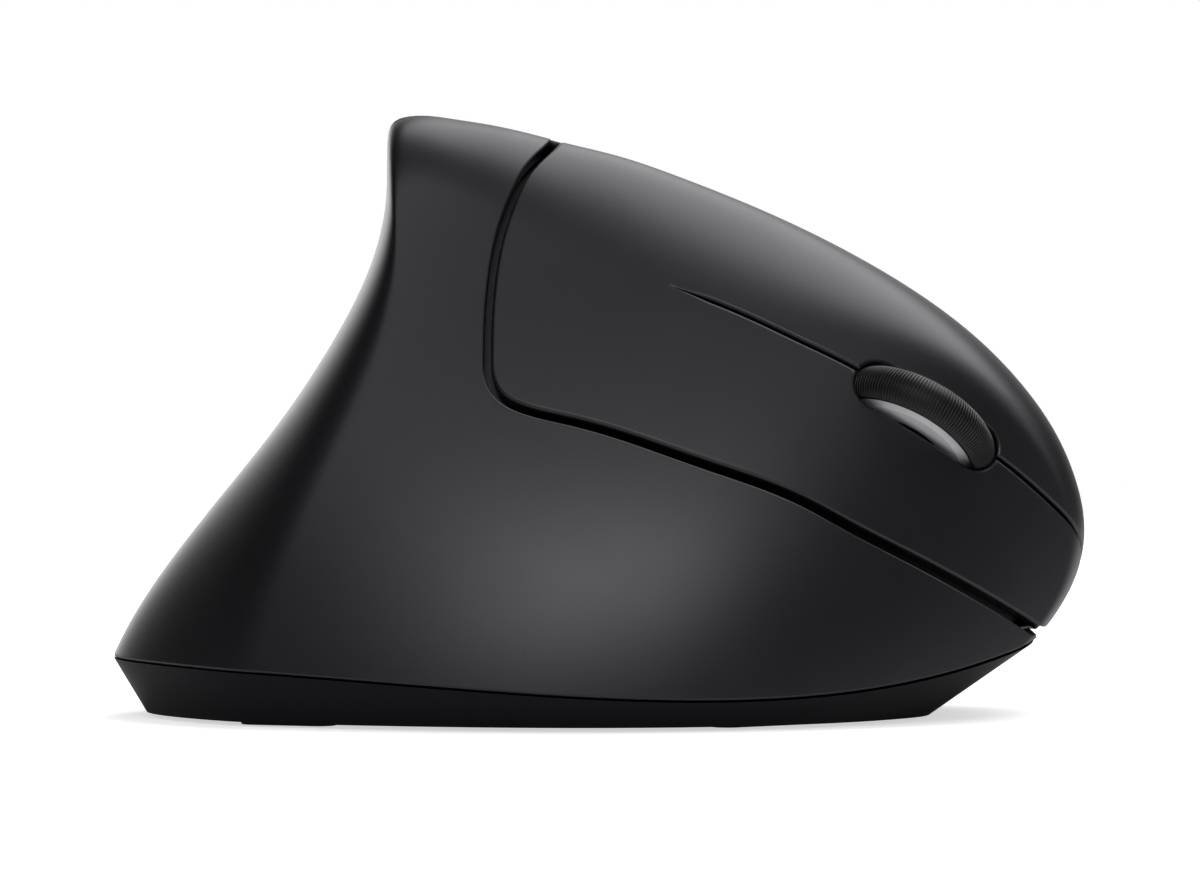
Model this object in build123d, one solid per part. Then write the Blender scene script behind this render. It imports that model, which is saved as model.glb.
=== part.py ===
from build123d import *
from math import comb, cos, pi, sqrt
import os

# Upright ergonomic mouse for the right hand, without a cord.
# Millimetres. +Z is up, +Y is the front end with the scroll wheel, +X is the finger side.

os.makedirs("parts", exist_ok=True)

# Driving sizes of the whole mouse
body_length = 120.0
body_width = 60.0
body_height = 74.0
wall = 2.0
inner_clearance = 0.3
fit_clearance = 0.05
cut_over = 90.0

# Base: the tucked-in skirt under the seam
seam_height = 7.4
seam_gap = 0.25
# How far the seam line is drawn past each end of the mouse.
seam_reach = 6.0
skirt_top = 13.0
floor_thickness = 2.0
foot_proud = 0.5
under_depth = 4.0
base_wall = 2.2

# Outer form. Each table runs from the rear of the mouse to its front.
# Rim: the outline seen from the finger side, as shares of length and height.
rim_shares = [
    (-0.4995, 0.101), (-0.4725, 0.184), (-0.406, 0.332), (-0.3325, 0.481), (-0.2717, 0.630),
    (-0.230, 0.778), (-0.220, 0.868), (-0.2195, 0.945), (-0.213, 0.985), (-0.194, 0.9955),
    (-0.154, 0.991), (-0.1027, 0.9775), (-0.041, 0.953), (0.0205, 0.928), (0.0821, 0.894),
    (0.1437, 0.855), (0.2053, 0.811), (0.267, 0.760), (0.3285, 0.700), (0.390, 0.6237),
    (0.438, 0.542), (0.465, 0.480), (0.4918, 0.380), (0.4990, 0.305), (0.4897, 0.230),
    (0.470, 0.172), (0.440, 0.113), (0.390, 0.030),
]
# The two ends of the rim on the ground, as shares of length.
rim_end_shares = (-0.520, 0.342)
# Foot: control values for where the line from each rim point meets the ground, evenly along
# the rim, as shares of length.
foot_shares = (-0.420, -0.350, -0.250, -0.130, -0.080, 0.020, 0.090, 0.170, 0.200, 0.283)
# Softness: how far the rounding of the rim reaches inwards, evenly along the rim, as shares
# of height.
softness_shares = (0.42, 0.36, 0.20, 0.13, 0.12, 0.20, 0.21, 0.11, 0.05, 0.05, 0.15)
# Sides: control values across the width at four stations along the length,
# each from the ground up to the full height, as shares of the width.
finger_side_shares = [
    (0.28, 0.22, 0.06, -0.06),
    (0.58, 0.47, 0.12, -0.06),
    (0.72, 0.70, 0.26, -0.10),
    (0.03, 0.09, 0.00, -0.16),
]
thumb_side_shares = [
    (-0.28, -0.19, -0.19, -0.22),
    (-0.52, -0.16, -0.25, -0.28),
    (-0.69, -0.31, -0.31, -0.31),
    (-0.22, -0.19, -0.22, -0.22),
]
# Seam between base and shells: height along the length, as shares of its rear height.
seam_shares = (1.0, 0.95, 0.86, 0.41, 0.30, 0.20, 2.16)
# Tuck of the skirt: how far the floor outline lies behind the seam outline, from rear to
# front, as shares of length, and how much narrower it is, as a share of its width.
tuck_back_shares = (-0.034, -0.010, 0.000, 0.000, 0.010, 0.140)
tuck_side_share = 0.065
# Crest seam between finger side and thumb side, as shares of the width.
crest_shares = (-0.04, -0.12, -0.22, -0.19, -0.17, -0.13)

rim_rounding = 3.0
spread = 1.7
fine_grid = (96, 18)
fine_tolerance = 0.005
plain_grid = (56, 14)
plain_tolerance = 0.02
slope_step = 0.02
skirt_stations = 28
crossing_steps = 40
mid_rim = 0.5

# Button plate outline on the finger side: its gap's middle line from the crest behind the
# buttons down to the corner and forward to the nose, as shares of length and height.
plate_gap_shares = [
    (-0.012, 1.040), (-0.048, 0.951), (-0.073, 0.912), (-0.0913, 0.857), (-0.1027, 0.803),
    (-0.110, 0.743), (-0.114, 0.677), (-0.115, 0.603), (-0.113, 0.570), (-0.1027, 0.543),
    (-0.079, 0.522), (-0.034, 0.504), (0.005, 0.488), (0.1027, 0.435), (0.205, 0.373),
    (0.2525, 0.331), (0.323, 0.270), (0.382, 0.215), (0.442, 0.153), (0.500, 0.085),
]
plate_gap = 0.9
lip_width = 2.4
lip_thickness = 1.4
lip_gap = 0.15
plate_gap_front = 1.35
crest_gap = 0.2
button_crest_gap = 0.5
button_crest_gap_front = 1.5
# Line between the two main buttons on the outer surface, as shares of length and height.
split_shares = [
    (0.070, 0.720), (0.154, 0.669), (0.205, 0.630), (0.2625, 0.584), (0.335, 0.5095),
    (0.407, 0.435), (0.4525, 0.373), (0.494, 0.306),
]
split_gap = 0.35
split_tip_gap = 0.15
# Middle of the wheel slot and the slope of the split there.
wheel_place_shares = (0.335, 0.5095)
split_slope_shares = (0.848, -0.531)
# Where the buttons bend: how far behind the wheel, as a share of length.
bend_share = 0.300
bend_gap = 0.3

# Scroll wheel and its slot
wheel_radius = 10.9
wheel_width = 4.8
wheel_proud = 5.1
tyre_crown = 1.45
tyre_inner_radius = 9.1
hub_radius = 8.2
hub_width = 2.2
ring_inner_radius = 4.6
ring_bevel_radius = 7.3
ring_face_recess = 0.15
ring_recess = 1.15
wheel_slot_length = 20.2
wheel_slot_width = 6.2
slot_relief = 0.5
slot_relief_depth = 0.9
axle_radius = 1.1
axle_end = 5.2
encoder_reach = 7.6

# Carrier that lets the wheel be pressed
cheek_inner = 3.1
cheek_thickness = 1.4
cheek_top = -3.9
cheek_bottom = -10.2
cheek_boss = 3.2
cheek_shoulder = -5.6
carrier_rear = -15.2
carrier_front = 14.4
bar_length = 2.8
bar_top = -6.2
pivot_radius = 1.0
pivot_inset = 1.7
pivot_depth = -9.0
pivot_length = 2.4

# Encoder, board, switches and frame under the buttons, measured from the outer surface
encoder_length = 9.6
encoder_width = 3.9
encoder_top = -4.2
encoder_bottom = -11.2
board_top = -15.2
board_thickness = 1.2
shelf_thickness = 2.0
shelf_rear = -25.0
shelf_front = 17.0
shelf_low = -19.0
shelf_high = 13.4
well_length = 23.4
well_width = 5.8
lug_width = 1.8
lug_gap = 0.5
lug_reach = 1.8
switch_place = (-13.0, 9.8)
switch_length = 12.8
switch_width = 5.8
switch_height = 6.5
plunger_radius = 0.9
plunger_height = 0.8
plunger_depth = 0.8
pocket_clearance = 0.3
pocket_depth = 1.7
stem_width = 3.0
click_switch_width = 4.6
click_plunger_height = 0.6
click_plunger_depth = 0.9
click_pocket_depth = 1.7

# Legs of the inner frame, from the middle of the main board they pass through.
leg_front = (3.6, 9.2)
leg_rear = (5.5, -9.3)
leg_width = 4.0

# Base inside: battery bay, main board, lens, switch and receiver, from the middle of the mouse
battery_radius = 5.25
battery_length = 44.5
battery_gap = 0.5
battery_middle_shares = (-0.025, -0.154)
battery_bottom = 2.9
contact_thickness = 0.4
contact_width = 8.0
spring_radius = 2.6
spring_wire = 0.5
spring_length = 3.2
bay_wall = 1.2
bay_height = 13.4
bay_side_gap = 0.2
door_thickness = 1.6
door_ledge = 1.4
door_gap = 0.2
door_grip_size = (9.0, 1.2)
door_grip_depth = 0.5
door_grip_spacing = 2.4
door_grip_count = 4

board_size = (30.0, 27.5)
board_gap = 0.2
board_shift = 1.5
main_board_bottom = 7.0
main_board_thickness = 1.4
boss_radius = 2.2
boss_spacing = (24.0, 18.0)
sensor_size = (10.0, 9.2, 2.9)
sensor_offset = (-3.0, -4.0)
lens_size = (12.0, 16.0)
lens_flange = 1.2
lens_radius = 3.2
lens_rise_radius = 2.4
window_recess = 0.4

power_share = 0.050
power_gap = 0.95
slider_size = (3.4, 4.2)
slider_slot_length = 7.4
slider_travel = 2.6
slider_flange = 1.0
slider_flange_over = 1.0
slider_rib_width = 0.5
power_box_size = (6.8, 11.0, 3.2)
receiver_share = -0.125
receiver_spacing = 0.8
receiver_size = (5.6, 13.6)
receiver_body = 6.2
receiver_plug_size = (4.4, 12.0)
receiver_plug = 11.6
receiver_wall = 1.0
receiver_gap = 0.15

# Glide feet and screws under the base
foot_thickness = 0.8
foot_gap = 0.1
foot_width = 4.2
# Each foot: its middle on the ground plan, its length as a share of the mouse's, and its turn.
foot_pad_shares = [
    ((-0.275, 0.158), 0.125, 62.0), ((0.275, 0.167), 0.125, 122.0),
    ((-0.287, -0.275), 0.100, 98.0), ((0.263, -0.317), 0.100, 72.0),
]
screw_shares = [(-0.308, -0.150), (0.342, 0.025), (-0.308, 0.246), (0.292, -0.233)]
screw_radius = 1.0
screw_head_radius = 1.9
screw_head_height = 1.2
screw_length = 7.0
screw_recess = 0.5
post_radius = 2.7

# Thumb side: buttons, their board and the soft grip
thumb_button_height = 6.6
thumb_button_proud = 0.9
thumb_button_gap = 0.3
# Each thumb button: its middle in the side view, its length as a share of the mouse's, its turn.
thumb_button_shares = [
    ("thumb_button_back", (-0.0625, 0.770), 0.158, -12.0),
    ("thumb_button_forward", (0.117, 0.697), 0.167, -21.0),
]
thumb_press = 0.6
speed_button_shares = (0.255, 0.589)
speed_button_radius = 2.7
thumb_board_face = -11.0
thumb_board_thickness = 1.2
thumb_board_shares = [
    (-0.150, 0.723), (0.200, 0.608), (0.300, 0.514), (0.300, 0.635), (0.200, 0.743), (-0.150, 0.865),
]
tact_width = 4.6
tact_height = 1.6
tact_plunger_radius = 1.2
tact_plunger_sunk = 0.4
tact_plunger_height = 0.9
thumb_stem_radius = 1.6
thumb_boss_radius = 1.8
thumb_boss_shares = [(0.028, 0.732), (0.205, 0.632)]
grip_depth = 1.2
grip_gap = 0.1
grip_shares = [
    (-0.300, 0.230), (-0.200, 0.209), (0.083, 0.182), (0.300, 0.216), (0.342, 0.297),
    (0.250, 0.405), (0.067, 0.520), (-0.100, 0.595), (-0.183, 0.581), (-0.267, 0.419),
]

rear_end = -body_length / 2
seam_span = body_length + 2 * seam_reach
seam_start = -seam_span / 2
bend_line = -bend_share * body_length

# Places on the floor of the base, from the battery bay's middle outwards
bay_x = battery_middle_shares[0] * body_width
bay_y = battery_middle_shares[1] * body_length
bay_half_x = 2 * battery_radius + battery_gap / 2 + bay_side_gap
bay_half_y = battery_length / 2 + spring_length / 2 + contact_thickness
bay_rim = door_ledge + bay_wall
board_x = bay_x + board_shift
board_y = bay_y + bay_half_y + bay_rim + board_gap + board_size[1] / 2
sensor_x = board_x + sensor_offset[0]
sensor_y = board_y + sensor_offset[1]
leg_places = [(board_x + x, board_y + y) for x, y in (leg_front, leg_rear)]
power_x = bay_x - bay_half_x - bay_rim - power_gap - power_box_size[0] / 2
power_y = power_share * body_length
receiver_x = bay_x + bay_half_x + door_ledge + receiver_spacing + receiver_wall + receiver_size[0] / 2
receiver_y = receiver_share * body_length


def curve_value(values, place):
    """Height of the smooth curve that the evenly spaced control values pull."""
    order = len(values) - 1
    return sum(
        comb(order, k) * (1 - place) ** (order - k) * place ** k * value
        for k, value in enumerate(values)
    )


def side_place(side_shares, y, z):
    along = (y - rear_end) / body_length
    up = z / body_height
    return body_width * curve_value([curve_value(column, up) for column in side_shares], along)


def seam_place(y):
    return seam_height * curve_value(seam_shares, (y - seam_start) / seam_span)


def ground_spot(shares):
    """A place on the ground plan, from its shares of width and length."""
    return shares[0] * body_width, shares[1] * body_length


def side_spot(shares):
    """A place in the side view, from its shares of length and height."""
    return shares[0] * body_length, shares[1] * body_height


def floor_point(point):
    """Where the skirt's line through a seam point reaches the underside of the base."""
    back = body_length * curve_value(tuck_back_shares, (point.Y - rear_end) / body_length)
    return Vector(point.X * (1 - tuck_side_share), point.Y - back, foot_proud)


class Frame:
    """The rim with the line from each of its points down to the ground."""

    def __init__(self):
        rear, front = (Vector(0, y * body_length, -under_depth) for y in rim_end_shares)
        rim = [Vector(0, *side_spot(place)) for place in rim_shares]
        rim = [rear, *rim, front]
        reach = [0.0]
        for first, second in zip(rim, rim[1:]):
            reach.append(reach[-1] + (second - first).length)
        self.places = [value / reach[-1] for value in reach]
        self.rim = Edge.make_spline(rim, parameters=self.places)
        self.softness = self.smooth(softness_shares, body_height)
        self.foot = self.smooth(foot_shares, body_length)

    def smooth(self, shares, scale):
        """A smooth curve through evenly spaced values, its height the value."""
        last = len(shares) - 1
        places = [k / last for k in range(last + 1)]
        points = [Vector(0, place * body_length, share * scale) for place, share in zip(places, shares)]
        return Edge.make_spline(points, parameters=places)

    def line(self, place):
        mode = PositionMode.PARAMETER
        top = self.rim.position_at(place, position_mode=mode)
        foot = Vector(0, self.foot.position_at(place, position_mode=mode).Z, -under_depth)
        return top, foot, self.softness.position_at(place, position_mode=mode).Z

    def both_sides(self, top, unit, distance, softness, inset):
        """Finger side and thumb side at a distance from the rim, moved in by the inset."""
        point = top + unit * distance
        right = side_place(finger_side_shares, point.Y, point.Z) - inset
        left = side_place(thumb_side_shares, point.Y, point.Z) + inset
        closing = min(max(distance - inset, 0) / softness, 1)
        half = (right - left) / 2 * sqrt(1 - (1 - closing) ** rim_rounding)
        middle = (right + left) / 2
        return Vector(middle + half, point.Y, point.Z), Vector(middle - half, point.Y, point.Z)


frame = Frame()


def body_form(inset, fine=False):
    """The closed outer form, moved in by the inset and cut level below the ground."""
    stations, cells = fine_grid if fine else plain_grid
    grid = []
    for station in range(stations + 1):
        top, foot, softness = frame.line(station / stations)
        unit = (foot - top).normalized()
        length = (foot - top).length
        pairs = []
        for k in range(cells + 1):
            distance = inset + (length - inset) * (k / cells) ** spread
            pairs.append(frame.both_sides(top, unit, distance, softness, inset))
        grid.append([left for _, left in reversed(pairs)] + [right for right, _ in pairs[1:]])
    tolerance = fine_tolerance if fine else plain_tolerance
    skin = Face.make_surface_from_array_of_points(grid, tol=tolerance, min_deg=3, max_deg=3)
    return Solid(Shell([skin, Face(Wire(skin.edges()))]))


def curve_block(values, scale, start, span, shift, low, width):
    """A block across the width whose top follows the smooth curve of the values."""
    order = len(values) - 1
    tops = [Vector(0, start + span * k / order, scale * value + shift) for k, value in enumerate(values)]
    top = Edge.make_bezier(*tops)
    first = top.position_at(0)
    last = top.position_at(1)
    under_first = Vector(0, first.Y, low)
    under_last = Vector(0, last.Y, low)
    outline = Wire([
        top,
        Edge.make_line(last, under_last),
        Edge.make_line(under_last, under_first),
        Edge.make_line(under_first, first),
    ])
    return extrude(Face(outline), amount=width, dir=(1, 0, 0), both=True)


def shifted(points, distances):
    """Points moved sideways, to the left of their direction, by the distances."""
    moved = []
    for k, point in enumerate(points):
        ahead = points[min(k + 1, len(points) - 1)] - points[max(k - 1, 0)]
        side = Vector(-ahead.Y, ahead.X).normalized()
        moved.append(point + side * distances[k])
    return moved


def growing(first, last, count):
    """Values that grow slowly at first from the first to the last."""
    return [first + (last - first) * (k / (count - 1)) ** 2 for k in range(count)]


# Side view sketches: their X is the length of the mouse and their Y is its height.
side_view = Plane(origin=(0, 0, 0), x_dir=(0, 1, 0), z_dir=(1, 0, 0))


def plate_block(sign):
    """The region of the button plate: with sign -1 the plate, with sign 1 its opening."""
    points = [Vector(*side_spot(place)) for place in plate_gap_shares]
    gaps = growing(plate_gap, plate_gap_front, len(points))
    points = shifted(points, [-sign * gap / 2 for gap in gaps])
    far = body_length
    edge = Edge.make_spline(points)
    corners = [points[-1], Vector(far, points[-1].Y), Vector(far, points[0].Y), points[0]]
    sides = [Edge.make_line(a, b) for a, b in zip(corners, corners[1:])]
    face = Face(Wire([edge, *sides]))
    return extrude(side_view * face, amount=cut_over, dir=(1, 0, 0), both=True)


def crest_block(gap_rear, gap_front):
    """All that lies on the finger side of the crest seam, a gap away from it."""
    order = len(crest_shares) - 1
    tops = [
        Vector(body_width * share + gap_rear + (gap_front - gap_rear) * k / order,
               rear_end + body_length * k / order)
        for k, share in enumerate(crest_shares)
    ]
    first, last = tops[0], tops[-1]
    line = [
        Edge.make_line(Vector(first.X, first.Y - under_depth), first),
        Edge.make_bezier(*tops),
        Edge.make_line(last, Vector(last.X, last.Y + under_depth)),
        Edge.make_line(Vector(last.X, last.Y + under_depth), Vector(cut_over, last.Y + under_depth)),
        Edge.make_line(Vector(cut_over, last.Y + under_depth), Vector(cut_over, first.Y - under_depth)),
        Edge.make_line(Vector(cut_over, first.Y - under_depth), Vector(first.X, first.Y - under_depth)),
    ]
    return extrude(Face(Wire(line)), amount=cut_over, dir=(0, 0, 1), both=True)


def seam_crossing(place):
    """Where the line of a rim place meets the seam: how far the rim end lies above the seam,
    and the distance from the rim to the seam along the line."""
    top, foot, softness = frame.line(place)
    unit = (foot - top).normalized()
    low, high = 0.0, (foot - top).length
    for _ in range(crossing_steps):
        middle = (low + high) / 2
        point = top + unit * middle
        if point.Z > seam_place(point.Y):
            low = middle
        else:
            high = middle
    return top.Z - seam_place(top.Y), top, unit, low, softness


def rim_crossing(outside, inside):
    """The rim place at which the rim itself meets the seam."""
    for _ in range(crossing_steps):
        middle = (outside + inside) / 2
        if seam_crossing(middle)[0] > 0:
            inside = middle
        else:
            outside = middle
    return inside


def seam_outline():
    """Points round the mouse where its outer form meets the seam, from the rear over the
    finger side to the front and back over the thumb side."""
    first, last = rim_crossing(0.0, mid_rim), rim_crossing(1.0, mid_rim)
    right_side, left_side = [], []
    for k in range(skirt_stations + 1):
        even = (1 - cos(pi * k / skirt_stations)) / 2
        place = first + (last - first) * even * even * (3 - 2 * even)
        _, top, unit, distance, softness = seam_crossing(place)
        right, left = frame.both_sides(top, unit, distance, softness, 0)
        right_side.append(right)
        left_side.append(left)
    return right_side + left_side[-2:0:-1]


def inset_loop(points, inset):
    """A level loop of points moved inwards."""
    moved = []
    for k, point in enumerate(points):
        ahead = points[(k + 1) % len(points)] - points[k - 1]
        outward = Vector(ahead.Y, -ahead.X).normalized()
        moved.append(point - outward * inset)
    return moved


def skirt_block(points, inset, low, high):
    """The skirt: walls that run through the seam points and lean in towards the floor."""
    floor_loop = inset_loop([floor_point(point) for point in points], inset)
    seam_loop = inset_loop(points, inset)
    bottom, top = [], []
    for foot, seam in zip(floor_loop, seam_loop):
        line = (seam - foot) / (seam.Z - foot.Z)
        bottom.append(foot + line * (low - foot.Z))
        top.append(foot + line * (high - foot.Z))
    wires = [Wire([Edge.make_spline(loop, periodic=True)]) for loop in (bottom, top)]
    return Solid.make_loft(wires, ruled=True)


# Frames of the wheel and the buttons: X runs forward along the split, Y across it towards
# the crest and Z out of the surface, from the point of the surface over the wheel.
def surface_frame(y, z):
    step = slope_step
    x = side_place(finger_side_shares, y, z)
    slope_y = (side_place(finger_side_shares, y + step, z) - x) / step
    slope_z = (side_place(finger_side_shares, y, z + step) - x) / step
    forward, down = split_slope_shares
    along = Vector(slope_y * forward + slope_z * down, forward, down)
    return Plane(origin=(x, y, z), x_dir=along, z_dir=(1, -slope_y, -slope_z))


button_frame = surface_frame(*side_spot(wheel_place_shares))
wheel_depth = wheel_proud - wheel_radius
axle_origin = button_frame.from_local_coords(Vector(0, 0, wheel_depth))
wheel_frame = Plane(origin=axle_origin, x_dir=button_frame.x_dir, z_dir=button_frame.y_dir)


def between(low, high, plane=None):
    """A block between two corners, in a frame if one is given."""
    size = [b - a for a, b in zip(low, high)]
    block = Pos(*low) * Box(*size, align=(Align.MIN, Align.MIN, Align.MIN))
    return plane.location * block if plane else block


def rod(radius, start, length, plane=None, turn=(0, 0, 0)):
    """A cylinder from its start along +Z, turned first if asked."""
    centred = (Align.CENTER, Align.CENTER, Align.MIN)
    solid = Pos(*start) * Rot(*turn) * Cylinder(radius, length, align=centred)
    return plane.location * solid if plane else solid


def across_rod(radius, u, w, low, high, plane):
    """A cylinder that runs across the split, from low to high."""
    return rod(radius, (u, high, w), high - low, plane, turn=(90, 0, 0))


def single(shape):
    """The largest solid of a shape."""
    return shape.solids().sort_by(SortBy.VOLUME)[-1]


pieces = {}


def keep(node, shape):
    pieces[node] = shape


# Forms that more than one piece is cut from
outer = body_form(0, fine=True)
middle_form = body_form(wall / 2)
inner = body_form(wall)
room = body_form(wall + inner_clearance)
under_seam = curve_block(seam_shares, seam_height, seam_start, seam_span, seam_gap / 2, -cut_over, cut_over)
hollow = outer - inner - under_seam
finger_side = crest_block(crest_gap / 2, crest_gap / 2)
thumb_limit = crest_block(-crest_gap / 2, -crest_gap / 2)
button_side = crest_block(button_crest_gap, button_crest_gap_front)
seam_points = seam_outline()


def split_points():
    """The line between the buttons in the button frame, from points on the outer surface."""
    points = []
    for y, z in map(side_spot, split_shares):
        x = side_place(finger_side_shares, y, z)
        local = button_frame.to_local_coords(Vector(x, y, z))
        points.append(Vector(local.X, local.Y))
    end = points[-1] + (points[-1] - points[-2])
    return [*points, end]


def button_cutter():
    """The gap between the buttons with the wheel slot, through their wall."""
    points = split_points()
    gaps = [split_tip_gap] + [split_gap] * (len(points) - 1)
    left = shifted(points, [gap / 2 for gap in gaps])
    right = shifted(points, [-gap / 2 for gap in gaps])
    outline = Wire([
        Edge.make_spline(left),
        Edge.make_line(left[-1], right[-1]),
        Edge.make_spline(right),
        Edge.make_line(right[0], left[0]),
    ])
    gap_block = extrude(button_frame * Face(outline), amount=cut_over, both=True)
    depth = wheel_radius + wheel_slot_width
    slot = button_frame * SlotOverall(wheel_slot_length, wheel_slot_width)
    slot_block = extrude(slot, amount=depth, both=True)
    relieved = SlotOverall(wheel_slot_length + 2 * slot_relief, wheel_slot_width + 2 * slot_relief)
    relief = button_frame * Pos(0, 0, -slot_relief_depth) * relieved
    slot_block = slot_block + extrude(relief, amount=-depth)
    lead = between(
        (bend_line, points[0].Y - split_tip_gap / 2, -cut_over),
        (points[0].X + split_tip_gap, points[0].Y + split_tip_gap / 2, cut_over),
        button_frame,
    )
    return gap_block + slot_block + lead


def stem(side):
    """The peg under a button that reaches its switch."""
    u, v = switch_place
    tip = board_top + switch_height + plunger_height
    block = between(
        (u - stem_width / 2, side * v - stem_width / 2, tip),
        (u + stem_width / 2, side * v + stem_width / 2, wheel_proud),
        button_frame,
    )
    return block & middle_form


def make_buttons():
    plate = single((hollow & button_side) & plate_block(-1))
    far = (cut_over, cut_over, cut_over)
    front = between((bend_line + bend_gap / 2, -cut_over, -cut_over), far, button_frame)
    rear = between((-cut_over, -cut_over, -cut_over), (bend_line - bend_gap / 2, *far[1:]), button_frame)
    keep("button_plate", single(plate & rear))
    fingers = (plate & front) - button_cutter()
    solids = fingers.solids().sort_by(SortBy.VOLUME)[-2:]
    low, high = sorted(solids, key=lambda solid: solid.center().Z)
    keep("right_button", single(low + stem(-1)))
    keep("left_button", single(high + stem(1)))


def thumb_face(place, length_share, turn, grow):
    """The outline of a thumb button in the side view, grown by a clearance."""
    slot = SlotOverall(length_share * body_length + 2 * grow, thumb_button_height + 2 * grow)
    return side_view * Pos(*side_spot(place)) * Rot(0, 0, turn) * slot


def speed_face(grow):
    return side_view * Pos(*side_spot(speed_button_shares)) * Circle(speed_button_radius + grow)


def grip_face(grow):
    points = inset_loop([Vector(*side_spot(place)) for place in grip_shares], -grow)
    return side_view * Face(Wire([Edge.make_spline(points, periodic=True)]))


def thumb_through(sketch):
    """A sketch of the side view pushed through the thumb side of the mouse."""
    return extrude(sketch, amount=-cut_over)


def post(place, top_form):
    """A screw post that stands on the base floor and ends inside a shell's wall."""
    x, y = place
    column = rod(post_radius, (x, y, foot_proud + floor_thickness), body_height)
    hole = rod(screw_radius, (x, y, foot_proud), screw_length + screw_head_height)
    return single((column & top_form) - hole)


def make_shells():
    opening = plate_block(1)
    lip_zone = Pos(0, -lip_width, -lip_width) * opening - Pos(0, lip_width, lip_width) * opening
    behind = between(
        (-cut_over, -cut_over, -cut_over),
        (bend_line - lip_width, cut_over, cut_over),
        button_frame,
    )
    lip = (middle_form - body_form(wall + lip_thickness)) & lip_zone & finger_side & behind
    lip = lip - (opening - body_form(wall + lip_gap))
    palm = single((hollow & finger_side) - opening)
    palm = palm + single(lip)
    thumb = single(hollow - thumb_limit)
    for y, z in map(side_spot, thumb_boss_shares):
        boss = rod(thumb_boss_radius, (-cut_over, y, z), cut_over + thumb_board_face, turn=(0, 90, 0))
        thumb = thumb + (boss & middle_form)
    for place in map(ground_spot, screw_shares):
        if place[0] > 0:
            palm = palm + post(place, middle_form)
        else:
            thumb = thumb + post(place, middle_form)
    for _, place, length_share, turn in thumb_button_shares:
        thumb = thumb - thumb_through(thumb_face(place, length_share, turn, thumb_button_gap))
    thumb = thumb - thumb_through(speed_face(thumb_button_gap))
    thumb = thumb - (thumb_through(grip_face(grip_gap)) - body_form(grip_depth + grip_gap))
    keep("palm_shell", single(palm))
    keep("thumb_shell", single(thumb))
    grip = (outer - body_form(grip_depth)) & thumb_through(grip_face(0))
    keep("thumb_grip", single(grip))


def make_thumb_buttons():
    cap_form = body_form(-thumb_button_proud, fine=True) - inner
    tact_top = thumb_board_face - tact_height - tact_plunger_height
    faces = [
        (name, thumb_face(place, length_share, turn, 0), place)
        for name, place, length_share, turn in thumb_button_shares
    ]
    faces.append(("speed_button", speed_face(0), speed_button_shares))
    for name, face, place in faces:
        y, z = side_spot(place)
        cap = single(cap_form & thumb_through(face))
        peg = rod(thumb_stem_radius, (-cut_over, y, z), cut_over + tact_top, turn=(0, 90, 0)) & middle_form
        keep(name, single(cap + peg))
        half = tact_width / 2
        low = (tact_top + tact_plunger_height, y - half, z - half)
        body = between(low, (thumb_board_face, y + half, z + half))
        depth = tact_plunger_height + tact_plunger_sunk
        pocket = depth + thumb_press + pocket_clearance
        hole = rod(tact_plunger_radius + pocket_clearance / 2, (tact_top, y, z), pocket, turn=(0, 90, 0))
        keep(name + "_switch", body - hole)
        keep(name + "_plunger", rod(tact_plunger_radius, (tact_top, y, z), depth, turn=(0, 90, 0)))
    outline = Face(Wire.make_polygon([Vector(*side_spot(place)) for place in thumb_board_shares]))
    board = Pos(thumb_board_face, 0, 0) * extrude(side_view * outline, amount=thumb_board_thickness)
    keep("thumb_board", single(board & room))


def make_wheel():
    """Tyre, hub, bright rings and axle, all turned about the axle."""
    half = wheel_width / 2
    crown_start = wheel_radius - tyre_crown
    side = half - ring_recess
    tyre = Polyline(
        (hub_radius, -hub_width / 2), (tyre_inner_radius, -hub_width / 2), (tyre_inner_radius, -half),
        (crown_start, -half),
    )
    crown = ThreePointArc((crown_start, -half), (wheel_radius, 0), (crown_start, half))
    back = Polyline(
        (crown_start, half), (tyre_inner_radius, half), (tyre_inner_radius, hub_width / 2),
        (hub_radius, hub_width / 2), (hub_radius, -hub_width / 2),
    )
    turn_plane = Plane(origin=wheel_frame.origin, x_dir=wheel_frame.x_dir, z_dir=-wheel_frame.y_dir)
    axis = Axis(wheel_frame.origin, wheel_frame.z_dir)

    def turned(*lines):
        return revolve(turn_plane * make_face([*lines]), axis=axis)

    keep("wheel_tyre", turned(*tyre.edges(), *crown.edges(), *back.edges()))
    hub = Polyline(
        (axle_radius, -hub_width / 2), (hub_radius, -hub_width / 2), (hub_radius, hub_width / 2),
        (axle_radius, hub_width / 2), (axle_radius, -hub_width / 2),
    )
    keep("wheel_hub", turned(*hub.edges()))
    for name, sign in (("wheel_ring_lower", -1), ("wheel_ring_upper", 1)):
        inner_edge = sign * hub_width / 2
        rim_edge = sign * side
        face_edge = sign * (half - ring_face_recess)
        ring = Polyline(
            (ring_inner_radius, inner_edge), (tyre_inner_radius, inner_edge), (tyre_inner_radius, rim_edge),
            (ring_bevel_radius, face_edge), (ring_inner_radius, face_edge), (ring_inner_radius, inner_edge),
        )
        keep(name, turned(*ring.edges()))
    keep("wheel_axle", rod(axle_radius, (0, 0, -encoder_reach), encoder_reach + axle_end, wheel_frame))


def bored(shape, radius, u, w, plane=None):
    """The shape with a hole across the split."""
    return shape - across_rod(radius, u, w, -cut_over, cut_over, plane or button_frame)


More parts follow.
